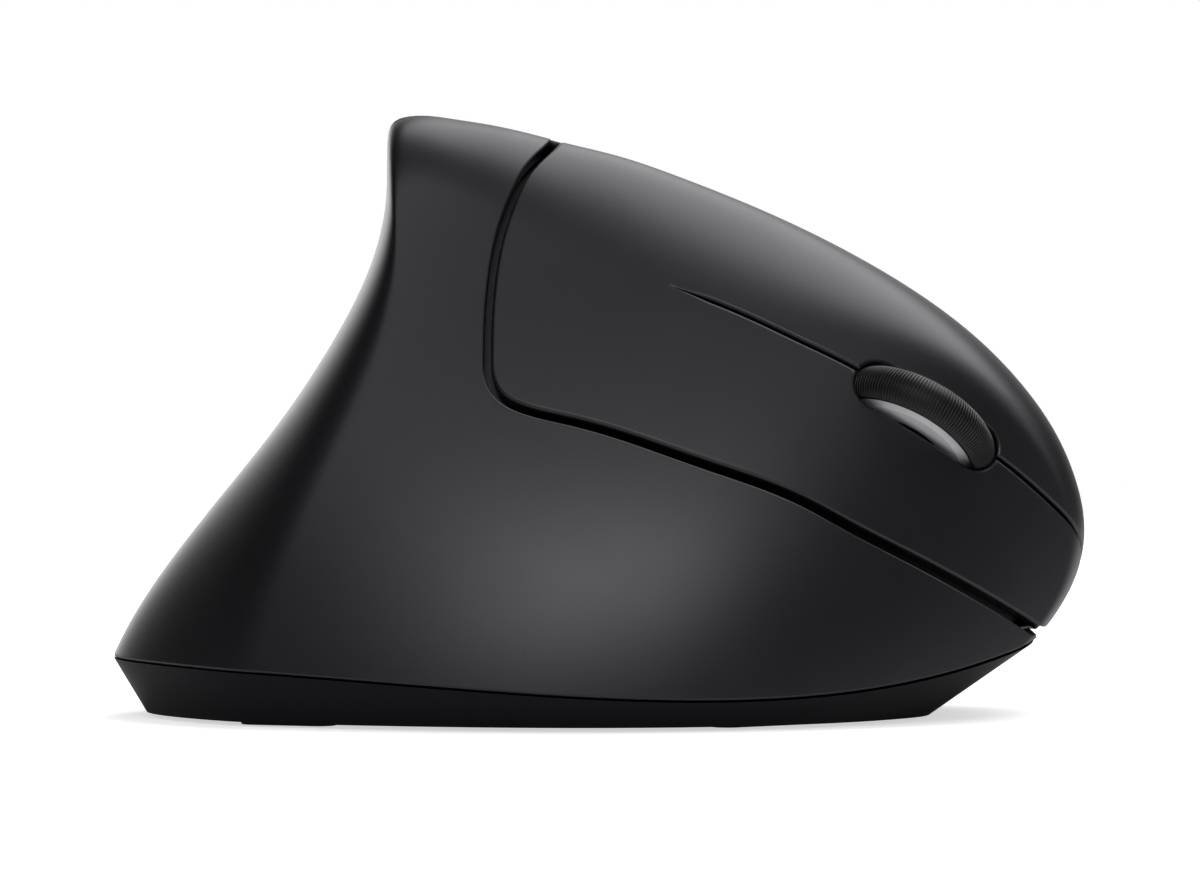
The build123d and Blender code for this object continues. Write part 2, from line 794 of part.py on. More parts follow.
def make_carrier():
    outer_side = cheek_inner + cheek_thickness
    low = (carrier_rear, -outer_side, cheek_bottom)
    frame_block = between(low, (carrier_front, outer_side, cheek_top), button_frame)
    window = between(
        (carrier_rear + bar_length, -cheek_inner, cheek_bottom - bar_length),
        (carrier_front - bar_length, cheek_inner, cheek_top + bar_length),
        button_frame,
    )
    carrier = frame_block - window
    # Only the bosses round the axle reach up to the buttons: the arms and end bars lie lower
    for low, high, top in (
        (carrier_rear - bar_length, carrier_rear + bar_length, bar_top),
        (carrier_rear, -cheek_boss, cheek_shoulder),
        (cheek_boss, carrier_front, cheek_shoulder),
        (carrier_front - bar_length, carrier_front + bar_length, bar_top),
    ):
        over = between((low, -outer_side - bar_length, top), (high, outer_side + bar_length, 0), button_frame)
        carrier = carrier - over
    carrier = bored(carrier, axle_radius + fit_clearance, 0, wheel_depth)
    pivot_u = carrier_rear + pivot_inset
    reach = outer_side + pivot_length
    for low, high in ((cheek_inner, reach), (-reach, -cheek_inner)):
        carrier = carrier + across_rod(pivot_radius, pivot_u, pivot_depth, low, high, button_frame)
    keep("wheel_carrier", single(carrier))
    body = between((-encoder_length / 2, -outer_side - encoder_width, encoder_bottom),
                   (encoder_length / 2, -outer_side, encoder_top), button_frame)
    keep("wheel_encoder", bored(body, axle_radius + fit_clearance, 0, wheel_depth))
    click_u = carrier_front - bar_length / 2
    half = click_switch_width / 2
    top = cheek_bottom - click_plunger_height
    body = between((click_u - half, -half, board_top), (click_u + half, half, top), button_frame)
    pocket_floor = (click_u, 0, top - click_pocket_depth)
    hole = rod(plunger_radius + pocket_clearance, pocket_floor, click_pocket_depth, button_frame)
    keep("click_switch", body - hole)
    length = click_plunger_height + click_plunger_depth
    keep("click_plunger", rod(plunger_radius, (click_u, 0, cheek_bottom - length), length, button_frame))


def make_button_switches():
    u, v = switch_place
    top = board_top + switch_height
    for name, side in (("left", 1), ("right", -1)):
        body = between(
            (u - switch_length / 2, side * v - switch_width / 2, board_top),
            (u + switch_length / 2, side * v + switch_width / 2, top),
            button_frame,
        )
        pocket_floor = (u, side * v, top - pocket_depth)
        hole = rod(plunger_radius + pocket_clearance, pocket_floor, pocket_depth, button_frame)
        keep(name + "_switch", body - hole)
        start = (u, side * v, top - plunger_depth)
        keep(name + "_plunger", rod(plunger_radius, start, plunger_height + plunger_depth, button_frame))


def make_inner_frame():
    """The sloped shelf under the buttons with the carrier's lugs, its legs and the button board."""
    shelf_top = board_top - board_thickness
    shelf_bottom = shelf_top - shelf_thickness
    half_length, half_width = well_length / 2, well_width / 2
    well = between((-half_length, -half_width, -cut_over), (half_length, half_width, 0), button_frame)
    board = between((shelf_rear, shelf_low, shelf_top), (shelf_front, shelf_high, board_top), button_frame)
    shelf = between((shelf_rear, shelf_low, shelf_bottom), (shelf_front, shelf_high, shelf_top), button_frame)
    thumb_side_end = thumb_board_face + thumb_board_thickness + inner_clearance
    free = room & between((thumb_side_end, -cut_over, -cut_over), (cut_over, cut_over, cut_over))
    shelf = (shelf & free) - well
    board = (board & free) - well
    outer_side = cheek_inner + cheek_thickness
    pivot_u = carrier_rear + pivot_inset
    for side in (-1, 1):
        edges = sorted((side * (outer_side + lug_gap), side * (outer_side + lug_gap + lug_width)))
        low = (pivot_u - lug_reach, edges[0], shelf_top - shelf_thickness / 2)
        high = (pivot_u + lug_reach, edges[1], pivot_depth + lug_reach)
        lug = between(low, high, button_frame)
        grown = between(
            (low[0] - fit_clearance, edges[0] - fit_clearance, shelf_top),
            (high[0] + fit_clearance, edges[1] + fit_clearance, 0),
            button_frame,
        )
        shelf = shelf + lug
        board = board - grown
    shelf = bored(shelf, pivot_radius + fit_clearance, pivot_u, pivot_depth)
    low = (-cut_over, -cut_over, -cut_over)
    below_shelf = between(low, (cut_over, cut_over, shelf_top - shelf_thickness / 2), button_frame)
    base_floor = foot_proud + floor_thickness
    for x, y in leg_places:
        half = leg_width / 2
        leg = between((x - half, y - half, base_floor), (x + half, y + half, body_height))
        shelf = shelf + (leg & below_shelf)
    keep("inner_frame", single(shelf))
    keep("button_board", single(board))


def make_main_board():
    half_x, half_y = board_size[0] / 2, board_size[1] / 2
    low = (board_x - half_x, board_y - half_y, main_board_bottom)
    high = (board_x + half_x, board_y + half_y, main_board_bottom + main_board_thickness)
    inside = skirt_block(seam_points, base_wall + inner_clearance, foot_proud, skirt_top)
    board = between(low, high) & inside
    board = board - rod(lens_radius, (sensor_x, sensor_y, 0), body_height)
    for leg_x, leg_y in leg_places:
        half = leg_width / 2 + inner_clearance
        board = board - between((leg_x - half, leg_y - half, 0), (leg_x + half, leg_y + half, body_height))
    keep("main_board", single(board))
    top = main_board_bottom + main_board_thickness
    width, length, height = sensor_size
    keep("optical_sensor", between(
        (sensor_x - width / 2, sensor_y - length / 2, top),
        (sensor_x + width / 2, sensor_y + length / 2, top + height),
    ))
    base_floor = foot_proud + floor_thickness
    width, length = lens_size
    lens = between(
        (sensor_x - width / 2, sensor_y - length / 2, base_floor),
        (sensor_x + width / 2, sensor_y + length / 2, base_floor + lens_flange),
    )
    window = (sensor_x, sensor_y, foot_proud + window_recess)
    lens = lens + rod(lens_radius - fit_clearance, window, floor_thickness)
    lens = lens + rod(lens_rise_radius, (sensor_x, sensor_y, base_floor), top - base_floor)
    keep("sensor_lens", lens)


def make_base():
    base_floor = foot_proud + floor_thickness
    skirt = skirt_block(seam_points, 0, foot_proud, skirt_top)
    cavity = skirt_block(seam_points, base_wall, base_floor, skirt_top)
    limit = curve_block(seam_shares, seam_height, seam_start, seam_span, -seam_gap / 2, -cut_over, cut_over)
    base = (skirt & limit) - cavity
    for side_x in (-1, 1):
        for side_y in (-1, 1):
            boss_x = board_x + side_x * boss_spacing[0] / 2
            place = (boss_x, board_y + side_y * boss_spacing[1] / 2, base_floor)
            base = base + rod(boss_radius, place, main_board_bottom - base_floor)
    base = base - rod(lens_radius, (sensor_x, sensor_y, 0), base_floor)

    # Battery bay: a tray round both batteries, open below, with a ledge for the door
    half_x, half_y = bay_half_x, bay_half_y
    bay_top = foot_proud + bay_height
    tray = between((bay_x - half_x - bay_wall, bay_y - half_y - bay_wall, foot_proud),
                   (bay_x + half_x + bay_wall, bay_y + half_y + bay_wall, bay_top + bay_wall))
    bay = between((bay_x - half_x, bay_y - half_y, 0), (bay_x + half_x, bay_y + half_y, bay_top))
    door_low = (bay_x - half_x - door_ledge, bay_y - half_y - door_ledge, foot_proud)
    door_high = (bay_x + half_x + door_ledge, bay_y + half_y + door_ledge, foot_proud + door_thickness)
    frame_ring = between(
        (door_low[0] - bay_wall, door_low[1] - bay_wall, foot_proud),
        (door_high[0] + bay_wall, door_high[1] + bay_wall, door_high[2] + bay_wall),
    )
    base = base + (tray + frame_ring & skirt_block(seam_points, base_wall / 2, foot_proud, body_height))
    base = base - bay - between((door_low[0], door_low[1], 0), door_high)
    low = tuple(value + door_gap for value in door_low[:2])
    high = tuple(value - door_gap for value in door_high[:2])
    door = between((*low, foot_proud), (*high, door_high[2] - fit_clearance))
    for k in range(door_grip_count):
        grip_y = high[1] - (k + 1) * door_grip_spacing
        width, depth = door_grip_size
        door = door - between(
            (bay_x - width / 2, grip_y - depth / 2, 0),
            (bay_x + width / 2, grip_y + depth / 2, foot_proud + door_grip_depth),
        )
    keep("battery_door", door)
    make_batteries()

    # Receiver pocket, open below
    x, y = receiver_x, receiver_y
    width, length = (size / 2 + receiver_gap for size in receiver_size)
    depth = foot_proud + receiver_body + receiver_plug + receiver_gap
    box = between((x - width - receiver_wall, y - length - receiver_wall, foot_proud),
                  (x + width + receiver_wall, y + length + receiver_wall, depth + receiver_wall))
    base = base + box - between((x - width, y - length, 0), (x + width, y + length, depth))
    half_x, half_y = (size / 2 for size in receiver_size)
    plug_low = foot_proud + receiver_body
    keep("receiver", between((x - half_x, y - half_y, foot_proud), (x + half_x, y + half_y, plug_low)))
    half_x, half_y = (size / 2 for size in receiver_plug_size)
    plug_top = plug_low + receiver_plug
    keep("receiver_plug", between((x - half_x, y - half_y, plug_low), (x + half_x, y + half_y, plug_top)))

    # Power switch: a slot in the floor, its slider and its body on the floor inside
    x, y = power_x, power_y
    width, length = slider_size
    base = base - between((x - width / 2 - door_gap, y - slider_slot_length / 2, 0),
                          (x + width / 2 + door_gap, y + slider_slot_length / 2, base_floor))
    off_y = y - slider_travel / 2
    half_x, half_y = width / 2, length / 2
    slider = between((x - half_x, off_y - half_y, foot_proud), (x + half_x, off_y + half_y, base_floor))
    half_x += slider_flange_over
    half_y += slider_flange_over
    flange_top = base_floor + slider_flange
    low = (x - half_x, off_y - half_y, base_floor)
    slider = slider + between(low, (x + half_x, off_y + half_y, flange_top))
    for k in (-1, 0, 1):
        groove_y = off_y + 2 * k * slider_rib_width
        slider = slider - between(
            (x - width, groove_y - slider_rib_width / 2, 0),
            (x + width, groove_y + slider_rib_width / 2, foot_proud + slider_rib_width),
        )
    keep("power_slider", slider)
    width, length, height = power_box_size
    low = (x - width / 2, y - length / 2, base_floor)
    body = between(low, (x + width / 2, y + length / 2, base_floor + height))
    half_x += inner_clearance
    half_y += slider_travel / 2 + inner_clearance
    body = body - between((x - half_x, y - half_y, 0), (x + half_x, y + half_y, flange_top + inner_clearance))
    keep("power_switch", body)

    # Feet in shallow recesses and screws from below
    for k, (place_shares, length_share, turn) in enumerate(foot_pad_shares):
        x, y = ground_spot(place_shares)
        length = length_share * body_length
        pad = SlotOverall(length, foot_width)
        grown = SlotOverall(length + 2 * foot_gap, foot_width + 2 * foot_gap)
        base = base - Pos(x, y, 0) * Rot(0, 0, turn) * extrude(grown, amount=foot_thickness)
        keep(f"glide_foot_{k + 1}", Pos(x, y, 0) * Rot(0, 0, turn) * extrude(pad, amount=foot_thickness))
    for k, place in enumerate(map(ground_spot, screw_shares)):
        head_low = foot_proud + screw_recess
        base = base - rod(screw_head_radius + fit_clearance, (*place, 0), head_low + screw_head_height)
        base = base - rod(screw_radius + fit_clearance, (*place, 0), body_height)
        screw = rod(screw_head_radius, (*place, head_low), screw_head_height)
        screw = screw + rod(screw_radius, (*place, head_low), screw_length)
        keep(f"base_screw_{k + 1}", screw)
    keep("base", single(base))


def make_batteries():
    """Two batteries head to tail, each with a spring at one end and a plate at the other."""
    height = battery_bottom + battery_radius
    for name, side in (("1", -1), ("2", 1)):
        x = bay_x + side * (battery_radius + battery_gap / 2)
        plate_y = bay_y + side * (bay_half_y - contact_thickness)
        start = plate_y - side * battery_length
        low, high = sorted((start, plate_y))
        cell = rod(battery_radius, (x, high, height), high - low, turn=(90, 0, 0))
        keep("battery_" + name, cell)
        half = contact_width / 2
        low, high = sorted((plate_y, plate_y + side * contact_thickness))
        plate = between((x - half, low, height - half), (x + half, high, height + half))
        keep("battery_plate_" + name, plate)
        wall_y = bay_y - side * bay_half_y
        low, high = sorted((wall_y, start))
        spring = rod(spring_radius, (x, high, height), high - low, turn=(90, 0, 0))
        core = rod(spring_radius - spring_wire, (x, high, height), high - low, turn=(90, 0, 0))
        keep("battery_spring_" + name, spring - core)


make_buttons()
make_shells()
make_thumb_buttons()
make_wheel()
make_carrier()
make_button_switches()
make_inner_frame()
make_main_board()
make_base()

# The origin goes to the middle of the underside of the whole mouse
boxes = [shape.bounding_box() for shape in pieces.values()]
low_x, high_x = min(box.min.X for box in boxes), max(box.max.X for box in boxes)
low_y, high_y = min(box.min.Y for box in boxes), max(box.max.Y for box in boxes)
low_z, high_z = min(box.min.Z for box in boxes), max(box.max.Z for box in boxes)
origin_shift = Vector(-(low_x + high_x) / 2, -(low_y + high_y) / 2, -low_z)
for node, shape in pieces.items():
    export_step(Pos(*origin_shift) * shape, f"parts/{node}.step")
print("nodes", len(pieces), "size", high_x - low_x, high_y - low_y, high_z - low_z)
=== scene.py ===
import math

import bpy
import numpy as np
from mathutils import Matrix, Vector


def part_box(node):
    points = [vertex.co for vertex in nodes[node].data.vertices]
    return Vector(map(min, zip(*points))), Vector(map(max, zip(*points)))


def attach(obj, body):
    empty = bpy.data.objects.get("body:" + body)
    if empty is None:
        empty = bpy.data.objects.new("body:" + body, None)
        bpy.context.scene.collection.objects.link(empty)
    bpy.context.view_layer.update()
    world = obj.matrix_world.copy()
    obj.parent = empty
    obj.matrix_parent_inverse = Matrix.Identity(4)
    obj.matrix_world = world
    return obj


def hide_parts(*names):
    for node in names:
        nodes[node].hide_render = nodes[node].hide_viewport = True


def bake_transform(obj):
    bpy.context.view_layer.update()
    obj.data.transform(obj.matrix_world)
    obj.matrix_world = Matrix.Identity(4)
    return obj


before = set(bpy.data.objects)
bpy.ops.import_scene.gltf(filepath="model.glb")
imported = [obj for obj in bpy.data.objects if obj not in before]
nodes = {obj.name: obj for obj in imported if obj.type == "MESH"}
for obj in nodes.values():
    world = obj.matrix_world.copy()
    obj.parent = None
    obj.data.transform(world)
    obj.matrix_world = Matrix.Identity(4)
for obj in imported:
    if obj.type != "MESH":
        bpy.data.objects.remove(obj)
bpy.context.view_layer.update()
mm = 0.001
print("frame loaded:", len(nodes), "nodes")

# Outer form of the mouse in millimetres, before the frame's origin is put under its middle
form = {
    "length": 120.0,
    "width": 60.0,
    "height": 74.0,
    "underDepth": 4.0,
    "rimPower": 3.0,
    "spread": 2.0,
    "stations": 330,
    "cells": 64,
    "rim": [
        (-0.4995, 0.101), (-0.4725, 0.184), (-0.406, 0.332), (-0.3325, 0.481), (-0.2717, 0.630),
        (-0.230, 0.778), (-0.220, 0.868), (-0.2195, 0.945), (-0.213, 0.985), (-0.194, 0.9955),
        (-0.154, 0.991), (-0.1027, 0.9775), (-0.041, 0.953), (0.0205, 0.928), (0.0821, 0.894),
        (0.1437, 0.855), (0.2053, 0.811), (0.267, 0.760), (0.3285, 0.700), (0.390, 0.6237),
        (0.438, 0.542), (0.465, 0.480), (0.4918, 0.380), (0.4990, 0.305), (0.4897, 0.230),
        (0.470, 0.172), (0.440, 0.113), (0.390, 0.030),
    ],
    "rimEnds": (-0.520, 0.342),
    "foot": (-0.420, -0.350, -0.250, -0.130, -0.080, 0.020, 0.090, 0.170, 0.200, 0.283),
    "softness": (0.42, 0.36, 0.20, 0.13, 0.12, 0.20, 0.21, 0.11, 0.05, 0.05, 0.15),
    "fingerSide": [
        (0.28, 0.22, 0.06, -0.06),
        (0.58, 0.47, 0.12, -0.06),
        (0.72, 0.70, 0.26, -0.10),
        (0.03, 0.09, 0.00, -0.16),
    ],
    "thumbSide": [
        (-0.28, -0.19, -0.19, -0.22),
        (-0.52, -0.16, -0.25, -0.28),
        (-0.69, -0.31, -0.31, -0.31),
        (-0.22, -0.19, -0.22, -0.22),
    ],
    "crest": (-0.04, -0.12, -0.22, -0.19, -0.17, -0.13),
    "seam": (1.0, 0.95, 0.86, 0.41, 0.30, 0.20, 2.16),
    "seamHeight": 7.4,
    "seamSpan": 132.0,
}

# Gaps between the shells and the buttons
gaps = {
    "plateLine": [
        (-0.012, 1.040), (-0.048, 0.951), (-0.073, 0.912), (-0.0913, 0.857), (-0.1027, 0.803),
        (-0.110, 0.743), (-0.114, 0.677), (-0.115, 0.603), (-0.113, 0.570), (-0.1027, 0.543),
        (-0.079, 0.522), (-0.034, 0.504), (0.005, 0.488), (0.1027, 0.435), (0.205, 0.373),
        (0.2525, 0.331), (0.323, 0.270), (0.382, 0.215), (0.442, 0.153), (0.500, 0.085),
    ],
    "plate": (0.9, 1.35),
    "plateGrowth": (-0.11, 0.61),
    "crest": 0.2,
    "buttonCrest": (0.5, 1.5),
    "seam": 0.25,
    "splitLine": [
        (0.070, 0.720), (0.154, 0.669), (0.205, 0.630), (0.2625, 0.584), (0.335, 0.5095),
        (0.407, 0.435), (0.4525, 0.373), (0.494, 0.306),
    ],
    "split": 0.35,
    "splitGrowth": 5.0,
    "splitLead": 30.0,
    "fadeFloor": 0.02,
    "wheelPlace": (0.335, 0.5095),
    "splitSlope": (0.848, -0.531),
    "bendLine": -36.0,
    "bendReach": 5.0,
    "slot": (20.2, 6.2),
}

# Thumb side: outlines in the side view as shares of length and height
thumbPieces = {
    "gap": 0.3,
    "proud": 0.9,
    "height": 6.6,
    "capDepth": 2.4,
    "capEdge": 0.6,
    "buttons": {
        "thumbBack": {"middle": (-0.0625, 0.770), "length": 0.158, "turn": -12.0},
        "thumbForward": {"middle": (0.117, 0.697), "length": 0.167, "turn": -21.0},
        "speed": {"middle": (0.255, 0.589), "radius": 2.7},
    },
    "grip": [
        (-0.300, 0.230), (-0.200, 0.209), (0.083, 0.182), (0.300, 0.216), (0.342, 0.297),
        (0.250, 0.405), (0.067, 0.520), (-0.100, 0.595), (-0.183, 0.581), (-0.267, 0.419),
    ],
    "gripDepth": 1.2,
    "gripGap": 0.1,
    "gripEdge": 0.35,
    "gripSteps": 900,
}

# Lip of the shells under the gaps round the button plate, deep enough for the buttons' travel
lip = {
    "depth": 3.0,
    "thickness": 0.8,
    "under": 1.2,
    "beyond": 3.2,
}

skin = {
    "thickness": 1.7,
    "edge": 0.32,
    "plateEdge": 0.45,
    "levels": (0.06, 0.234, 0.5, 0.79, 1.0),
    "probe": 0.02,
}


def heightAt(values, place):
    # smooth curve pulled by evenly spaced control values
    order = len(values) - 1
    return sum(
        math.comb(order, k) * (1 - place) ** (order - k) * place ** k * value
        for k, value in enumerate(values)
    )


def splineThrough(places, values):
    # cubic through values at rising places, with end slopes of the first and last four
    places = np.asarray(places, float)
    values = np.asarray(values, float).reshape(len(places), -1)
    count = len(places)
    step = np.diff(places)

    def endSlope(picked):
        near = places[picked] - places[picked[0]]
        return np.array([np.polyfit(near, column, 3)[-2] for column in values[picked].T])

    system = np.zeros((count, count))
    right = np.zeros_like(values)
    system[0, 0] = system[-1, -1] = 1
    right[0] = endSlope(np.arange(4))
    right[-1] = endSlope(np.arange(count - 1, count - 5, -1))
    for k in range(1, count - 1):
        system[k, k - 1] = 1 / step[k - 1]
        system[k, k] = 2 / step[k - 1] + 2 / step[k]
        system[k, k + 1] = 1 / step[k]
        before = (values[k] - values[k - 1]) / step[k - 1] ** 2
        after = (values[k + 1] - values[k]) / step[k] ** 2
        right[k] = 3 * (before + after)
    slopes = np.linalg.solve(system, right)

    def at(place):
        place = np.atleast_1d(place)
        cell = np.clip(np.searchsorted(places, place) - 1, 0, count - 2)
        part = ((place - places[cell]) / step[cell])[:, None]
        run = step[cell][:, None]
        start, end = values[cell], values[cell + 1]
        slopeStart, slopeEnd = slopes[cell] * run, slopes[cell + 1] * run
        return (
            start * (1 + 2 * part) * (1 - part) ** 2
            + slopeStart * part * (1 - part) ** 2
            + end * part ** 2 * (3 - 2 * part)
            - slopeEnd * part ** 2 * (1 - part)
        )

    return at


def lineThrough(points, count=400):
    # dense points of the smooth line through a few
    points = np.asarray(points, float)
    reach = np.concatenate([[0], np.cumsum(np.linalg.norm(np.diff(points, axis=0), axis=1))])
    return splineThrough(reach / reach[-1], points)(np.linspace(0, 1, count))


def sidePoints(shares):
    return [(y * form["length"], z * form["height"]) for y, z in shares]


def sideX(net, y, z):
    along = y / form["length"] + 0.5
    up = z / form["height"]
    return form["width"] * heightAt([heightAt(column, up) for column in net], along)


def crestX(y):
    return form["width"] * heightAt(form["crest"], y / form["length"] + 0.5)


def seamZ(y):
    return form["seamHeight"] * heightAt(form["seam"], y / form["seamSpan"] + 0.5)


def outerGrid():
    # columns run from the thumb side's foot over the rim to the finger side's foot
    ends = [(y * form["length"], -form["underDepth"]) for y in form["rimEnds"]]
    rim = np.array([ends[0], *sidePoints(form["rim"]), ends[1]])
    reach = np.concatenate([[0], np.cumsum(np.linalg.norm(np.diff(rim, axis=0), axis=1))])
    place = np.linspace(0, 1, form["stations"] + 1)
    top = splineThrough(reach / reach[-1], rim)(place)
    foot = np.full_like(top, -form["underDepth"])
    evenly = np.linspace(0, 1, len(form["foot"]))
    foot[:, 0] = splineThrough(evenly, np.array(form["foot"]) * form["length"])(place)[:, 0]
    evenly = np.linspace(0, 1, len(form["softness"]))
    softness = splineThrough(evenly, np.array(form["softness"]) * form["height"])(place)
    length = np.linalg.norm(foot - top, axis=1)[:, None]
    distance = length * np.linspace(0, 1, form["cells"] + 1)[None, :] ** form["spread"]
    point = top[:, None, :] + ((foot - top) / length)[:, None, :] * distance[:, :, None]
    y, z = point[..., 0], point[..., 1]
    right, left = sideX(form["fingerSide"], y, z), sideX(form["thumbSide"], y, z)
    closing = np.clip(distance / softness, 0, 1)
    half = (right - left) / 2 * np.sqrt(1 - (1 - closing) ** form["rimPower"])
    middle = (right + left) / 2
    rightSide = np.stack([middle + half, y, z], axis=-1)
    leftSide = np.stack([middle - half, y, z], axis=-1)
    return np.concatenate([leftSide[:, :0:-1], rightSide], axis=1)


def gridNormals(grid):
    along = np.gradient(grid, axis=0)
    across = np.gradient(grid, axis=1)
    normal = np.cross(across, along)
    length = np.linalg.norm(normal, axis=-1, keepdims=True)
    return normal / np.maximum(length, 1e-9)


def gridFaces(rows, columns):
    index = np.arange(rows * columns).reshape(rows, columns)
    a, b, c, d = index[:-1, :-1], index[:-1, 1:], index[1:, 1:], index[1:, :-1]
    return np.concatenate([
        np.stack([a, b, c], axis=-1).reshape(-1, 3),
        np.stack([a, c, d], axis=-1).reshape(-1, 3),
    ])


def splitFaces(points, faces, level, keepBelow):
    # cuts triangles along level zero, and drops what is below it unless that is kept
    level = np.where(np.abs(level) < 1e-7, 1e-7, level)
    above = level > 0
    count = above[faces].sum(axis=1)
    whole = faces[(count == 3) | ((count == 0) & keepBelow)]
    mixed = faces[(count == 1) | (count == 2)]
    if not len(mixed):
        return points, whole
    alone = count[(count == 1) | (count == 2)] == 1
    corner = np.argmax(above[mixed] == alone[:, None], axis=1)
    order = (corner[:, None] + np.arange(3)[None, :]) % 3
    turned = np.take_along_axis(mixed, order, axis=1)
    edges = np.sort(np.concatenate([turned[:, [0, 1]], turned[:, [0, 2]]]), axis=1)
    unique, back = np.unique(edges, axis=0, return_inverse=True)
    back = back.reshape(-1)
    share = (level[unique[:, 0]] / (level[unique[:, 0]] - level[unique[:, 1]]))[:, None]
    added = points[unique[:, 0]] * (1 - share) + points[unique[:, 1]] * share
    first = len(points) + back[: len(mixed)]
    second = len(points) + back[len(mixed):]
    tip = np.stack([turned[:, 0], first, second], axis=1)
    baseOne = np.stack([first, turned[:, 1], turned[:, 2]], axis=1)
    baseTwo = np.stack([first, turned[:, 2], second], axis=1)
    keepTip = alone | keepBelow
    keepBase = ~alone | keepBelow
    parts = [whole, tip[keepTip], baseOne[keepBase], baseTwo[keepBase]]
    return np.concatenate([points, added]), np.concatenate(parts)


def lineDistance(place, line):
    # signed distance to a line of points in a plane, positive on the left of its direction
    start, run = line[:-1], np.diff(line, axis=0)
    square = (run ** 2).sum(axis=1)
    result = np.empty(len(place))
    chunk = 4000
    for low in range(0, len(place), chunk):
        part = place[low:low + chunk]
        offset = part[:, None, :] - start[None]
        share = np.clip((offset * run[None]).sum(axis=2) / square, 0, 1)
        rest = offset - run[None] * share[..., None]
        apart = (rest ** 2).sum(axis=2)
        near = apart.argmin(axis=1)
        rows = np.arange(len(part))
        cross = run[near, 0] * offset[rows, near, 1] - run[near, 1] * offset[rows, near, 0]
        result[low:low + chunk] = np.sqrt(apart[rows, near]) * np.sign(cross)
    return result


def slotDistance(place, length, width):
    # distance from a slot with round ends, negative inside it
    reach = np.maximum(np.abs(place[:, 0]) - (length - width) / 2, 0)
    return np.hypot(reach, place[:, 1]) - width / 2


def surfaceAxes():
    # forward along the split, across it and out of the surface, over the wheel
    y, z = sidePoints([gaps["wheelPlace"]])[0]
    step = 0.02
    x = sideX(form["fingerSide"], y, z)
    slopeY = (sideX(form["fingerSide"], y + step, z) - x) / step
    slopeZ = (sideX(form["fingerSide"], y, z + step) - x) / step
    forward, down = gaps["splitSlope"]
    along = np.array([slopeY * forward + slopeZ * down, forward, down])
    out = np.array([1, -slopeY, -slopeZ])
    along, out = along / np.linalg.norm(along), out / np.linalg.norm(out)
    return np.array([x, y, z]), np.stack([along, np.cross(out, along), out])


buttonOrigin, buttonAxes = surfaceAxes()


def toButton(points):
    return (points - buttonOrigin) @ buttonAxes.T


plateLine = lineThrough(sidePoints(gaps["plateLine"]))
splitPlaces = np.array([
    toButton(np.array([sideX(form["fingerSide"], y, z), y, z]))[:2]
    for y, z in sidePoints(gaps["splitLine"])
])
splitPlaces = np.concatenate([splitPlaces, [2 * splitPlaces[-1] - splitPlaces[-2]]])
splitLine = lineThrough(splitPlaces)
splitStart = splitPlaces[0, 0]


def growingGap(limits, share):
    return limits[0] + (limits[1] - limits[0]) * np.clip(share, 0, 1)


# Levels: positive inside a piece, in millimetres from its edge
def plateLevel(points):
    start, run = gaps["plateGrowth"]
    gap = growingGap(gaps["plate"], (points[:, 1] / form["length"] - start) / run)
    return lineDistance(points[:, 1:], plateLine), gap / 2


def insidePlate(points):
    distance, gap = plateLevel(points)
    return distance - gap


def outsidePlate(points):
    distance, gap = plateLevel(points)
    return -distance - gap


def fingerOfCrest(points):
    return points[:, 0] - crestX(points[:, 1]) - gaps["crest"] / 2


def thumbOfCrest(points):
    return crestX(points[:, 1]) - points[:, 0] - gaps["crest"] / 2


def buttonOfCrest(points):
    gap = growingGap(gaps["buttonCrest"], points[:, 1] / form["length"] + 0.5)
    return points[:, 0] - crestX(points[:, 1]) - gap


def aboveSeam(points):
    return points[:, 2] - seamZ(points[:, 1]) - gaps["seam"] / 2


def splitSide(points, sign):
    place = toButton(points)[:, :2]
    lead = np.array([[splitStart - gaps["splitLead"], splitLine[0, 1]]])
    distance = sign * lineDistance(place, np.concatenate([lead, splitLine]))
    grown = np.clip((place[:, 0] - splitStart) / gaps["splitGrowth"], 0, 1)
    return distance - gaps["split"] / 2 * grown


def upperOfSplit(points):
    return splitSide(points, 1)


def lowerOfSplit(points):
    return splitSide(points, -1)


def offSlot(points):
    return slotDistance(toButton(points)[:, :2], *gaps["slot"])


def frontOfBend(points):
    return toButton(points)[:, 0] - gaps["bendLine"]


def behindBend(points):
    return gaps["bendLine"] - toButton(points)[:, 0]


def capDistance(name):
    # distance from a thumb button's outline in the side view, negative inside it
    cap = thumbPieces["buttons"][name]
    middle = np.array(sidePoints([cap["middle"]])[0])
    if "radius" in cap:
        return lambda points: np.linalg.norm(points[:, 1:3] - middle, axis=1) - cap["radius"]
    turn = math.radians(cap["turn"])
    turned = np.array([[math.cos(turn), -math.sin(turn)], [math.sin(turn), math.cos(turn)]])
    size = cap["length"] * form["length"], thumbPieces["height"]
    return lambda points: slotDistance((points[:, 1:3] - middle) @ turned, *size)


def aroundCap(name):
    distance = capDistance(name)
    return lambda points: distance(points) - thumbPieces["gap"]


def insideCap(name):
    distance = capDistance(name)
    return lambda points: -distance(points)


def closedLoop(shares, count):
    # the line runs on past its start at both ends, and is cut where it passes there
    points = sidePoints(shares)
    loop = lineThrough([*points[-4:], *points, *points[:5]], count)
    apart = np.linalg.norm(loop - points[0], axis=1)
    half = count // 2
    return loop[apart[:half].argmin():half + apart[half:].argmin() + 1]


gripLoop = closedLoop(thumbPieces["grip"], thumbPieces["gripSteps"])


def insideGrip(points):
    return lineDistance(points[:, 1:3], gripLoop)


def aroundGrip(points):
    return -lineDistance(points[:, 1:3], gripLoop) - thumbPieces["gripGap"]


def crestLipStart(points):
    return points[:, 0] - crestX(points[:, 1]) + lip["under"]


def crestLipEnd(points):
    return crestX(points[:, 1]) + lip["beyond"] - points[:, 0]


def plateLipStart(points):
    return plateLevel(points)[0] + lip["under"]


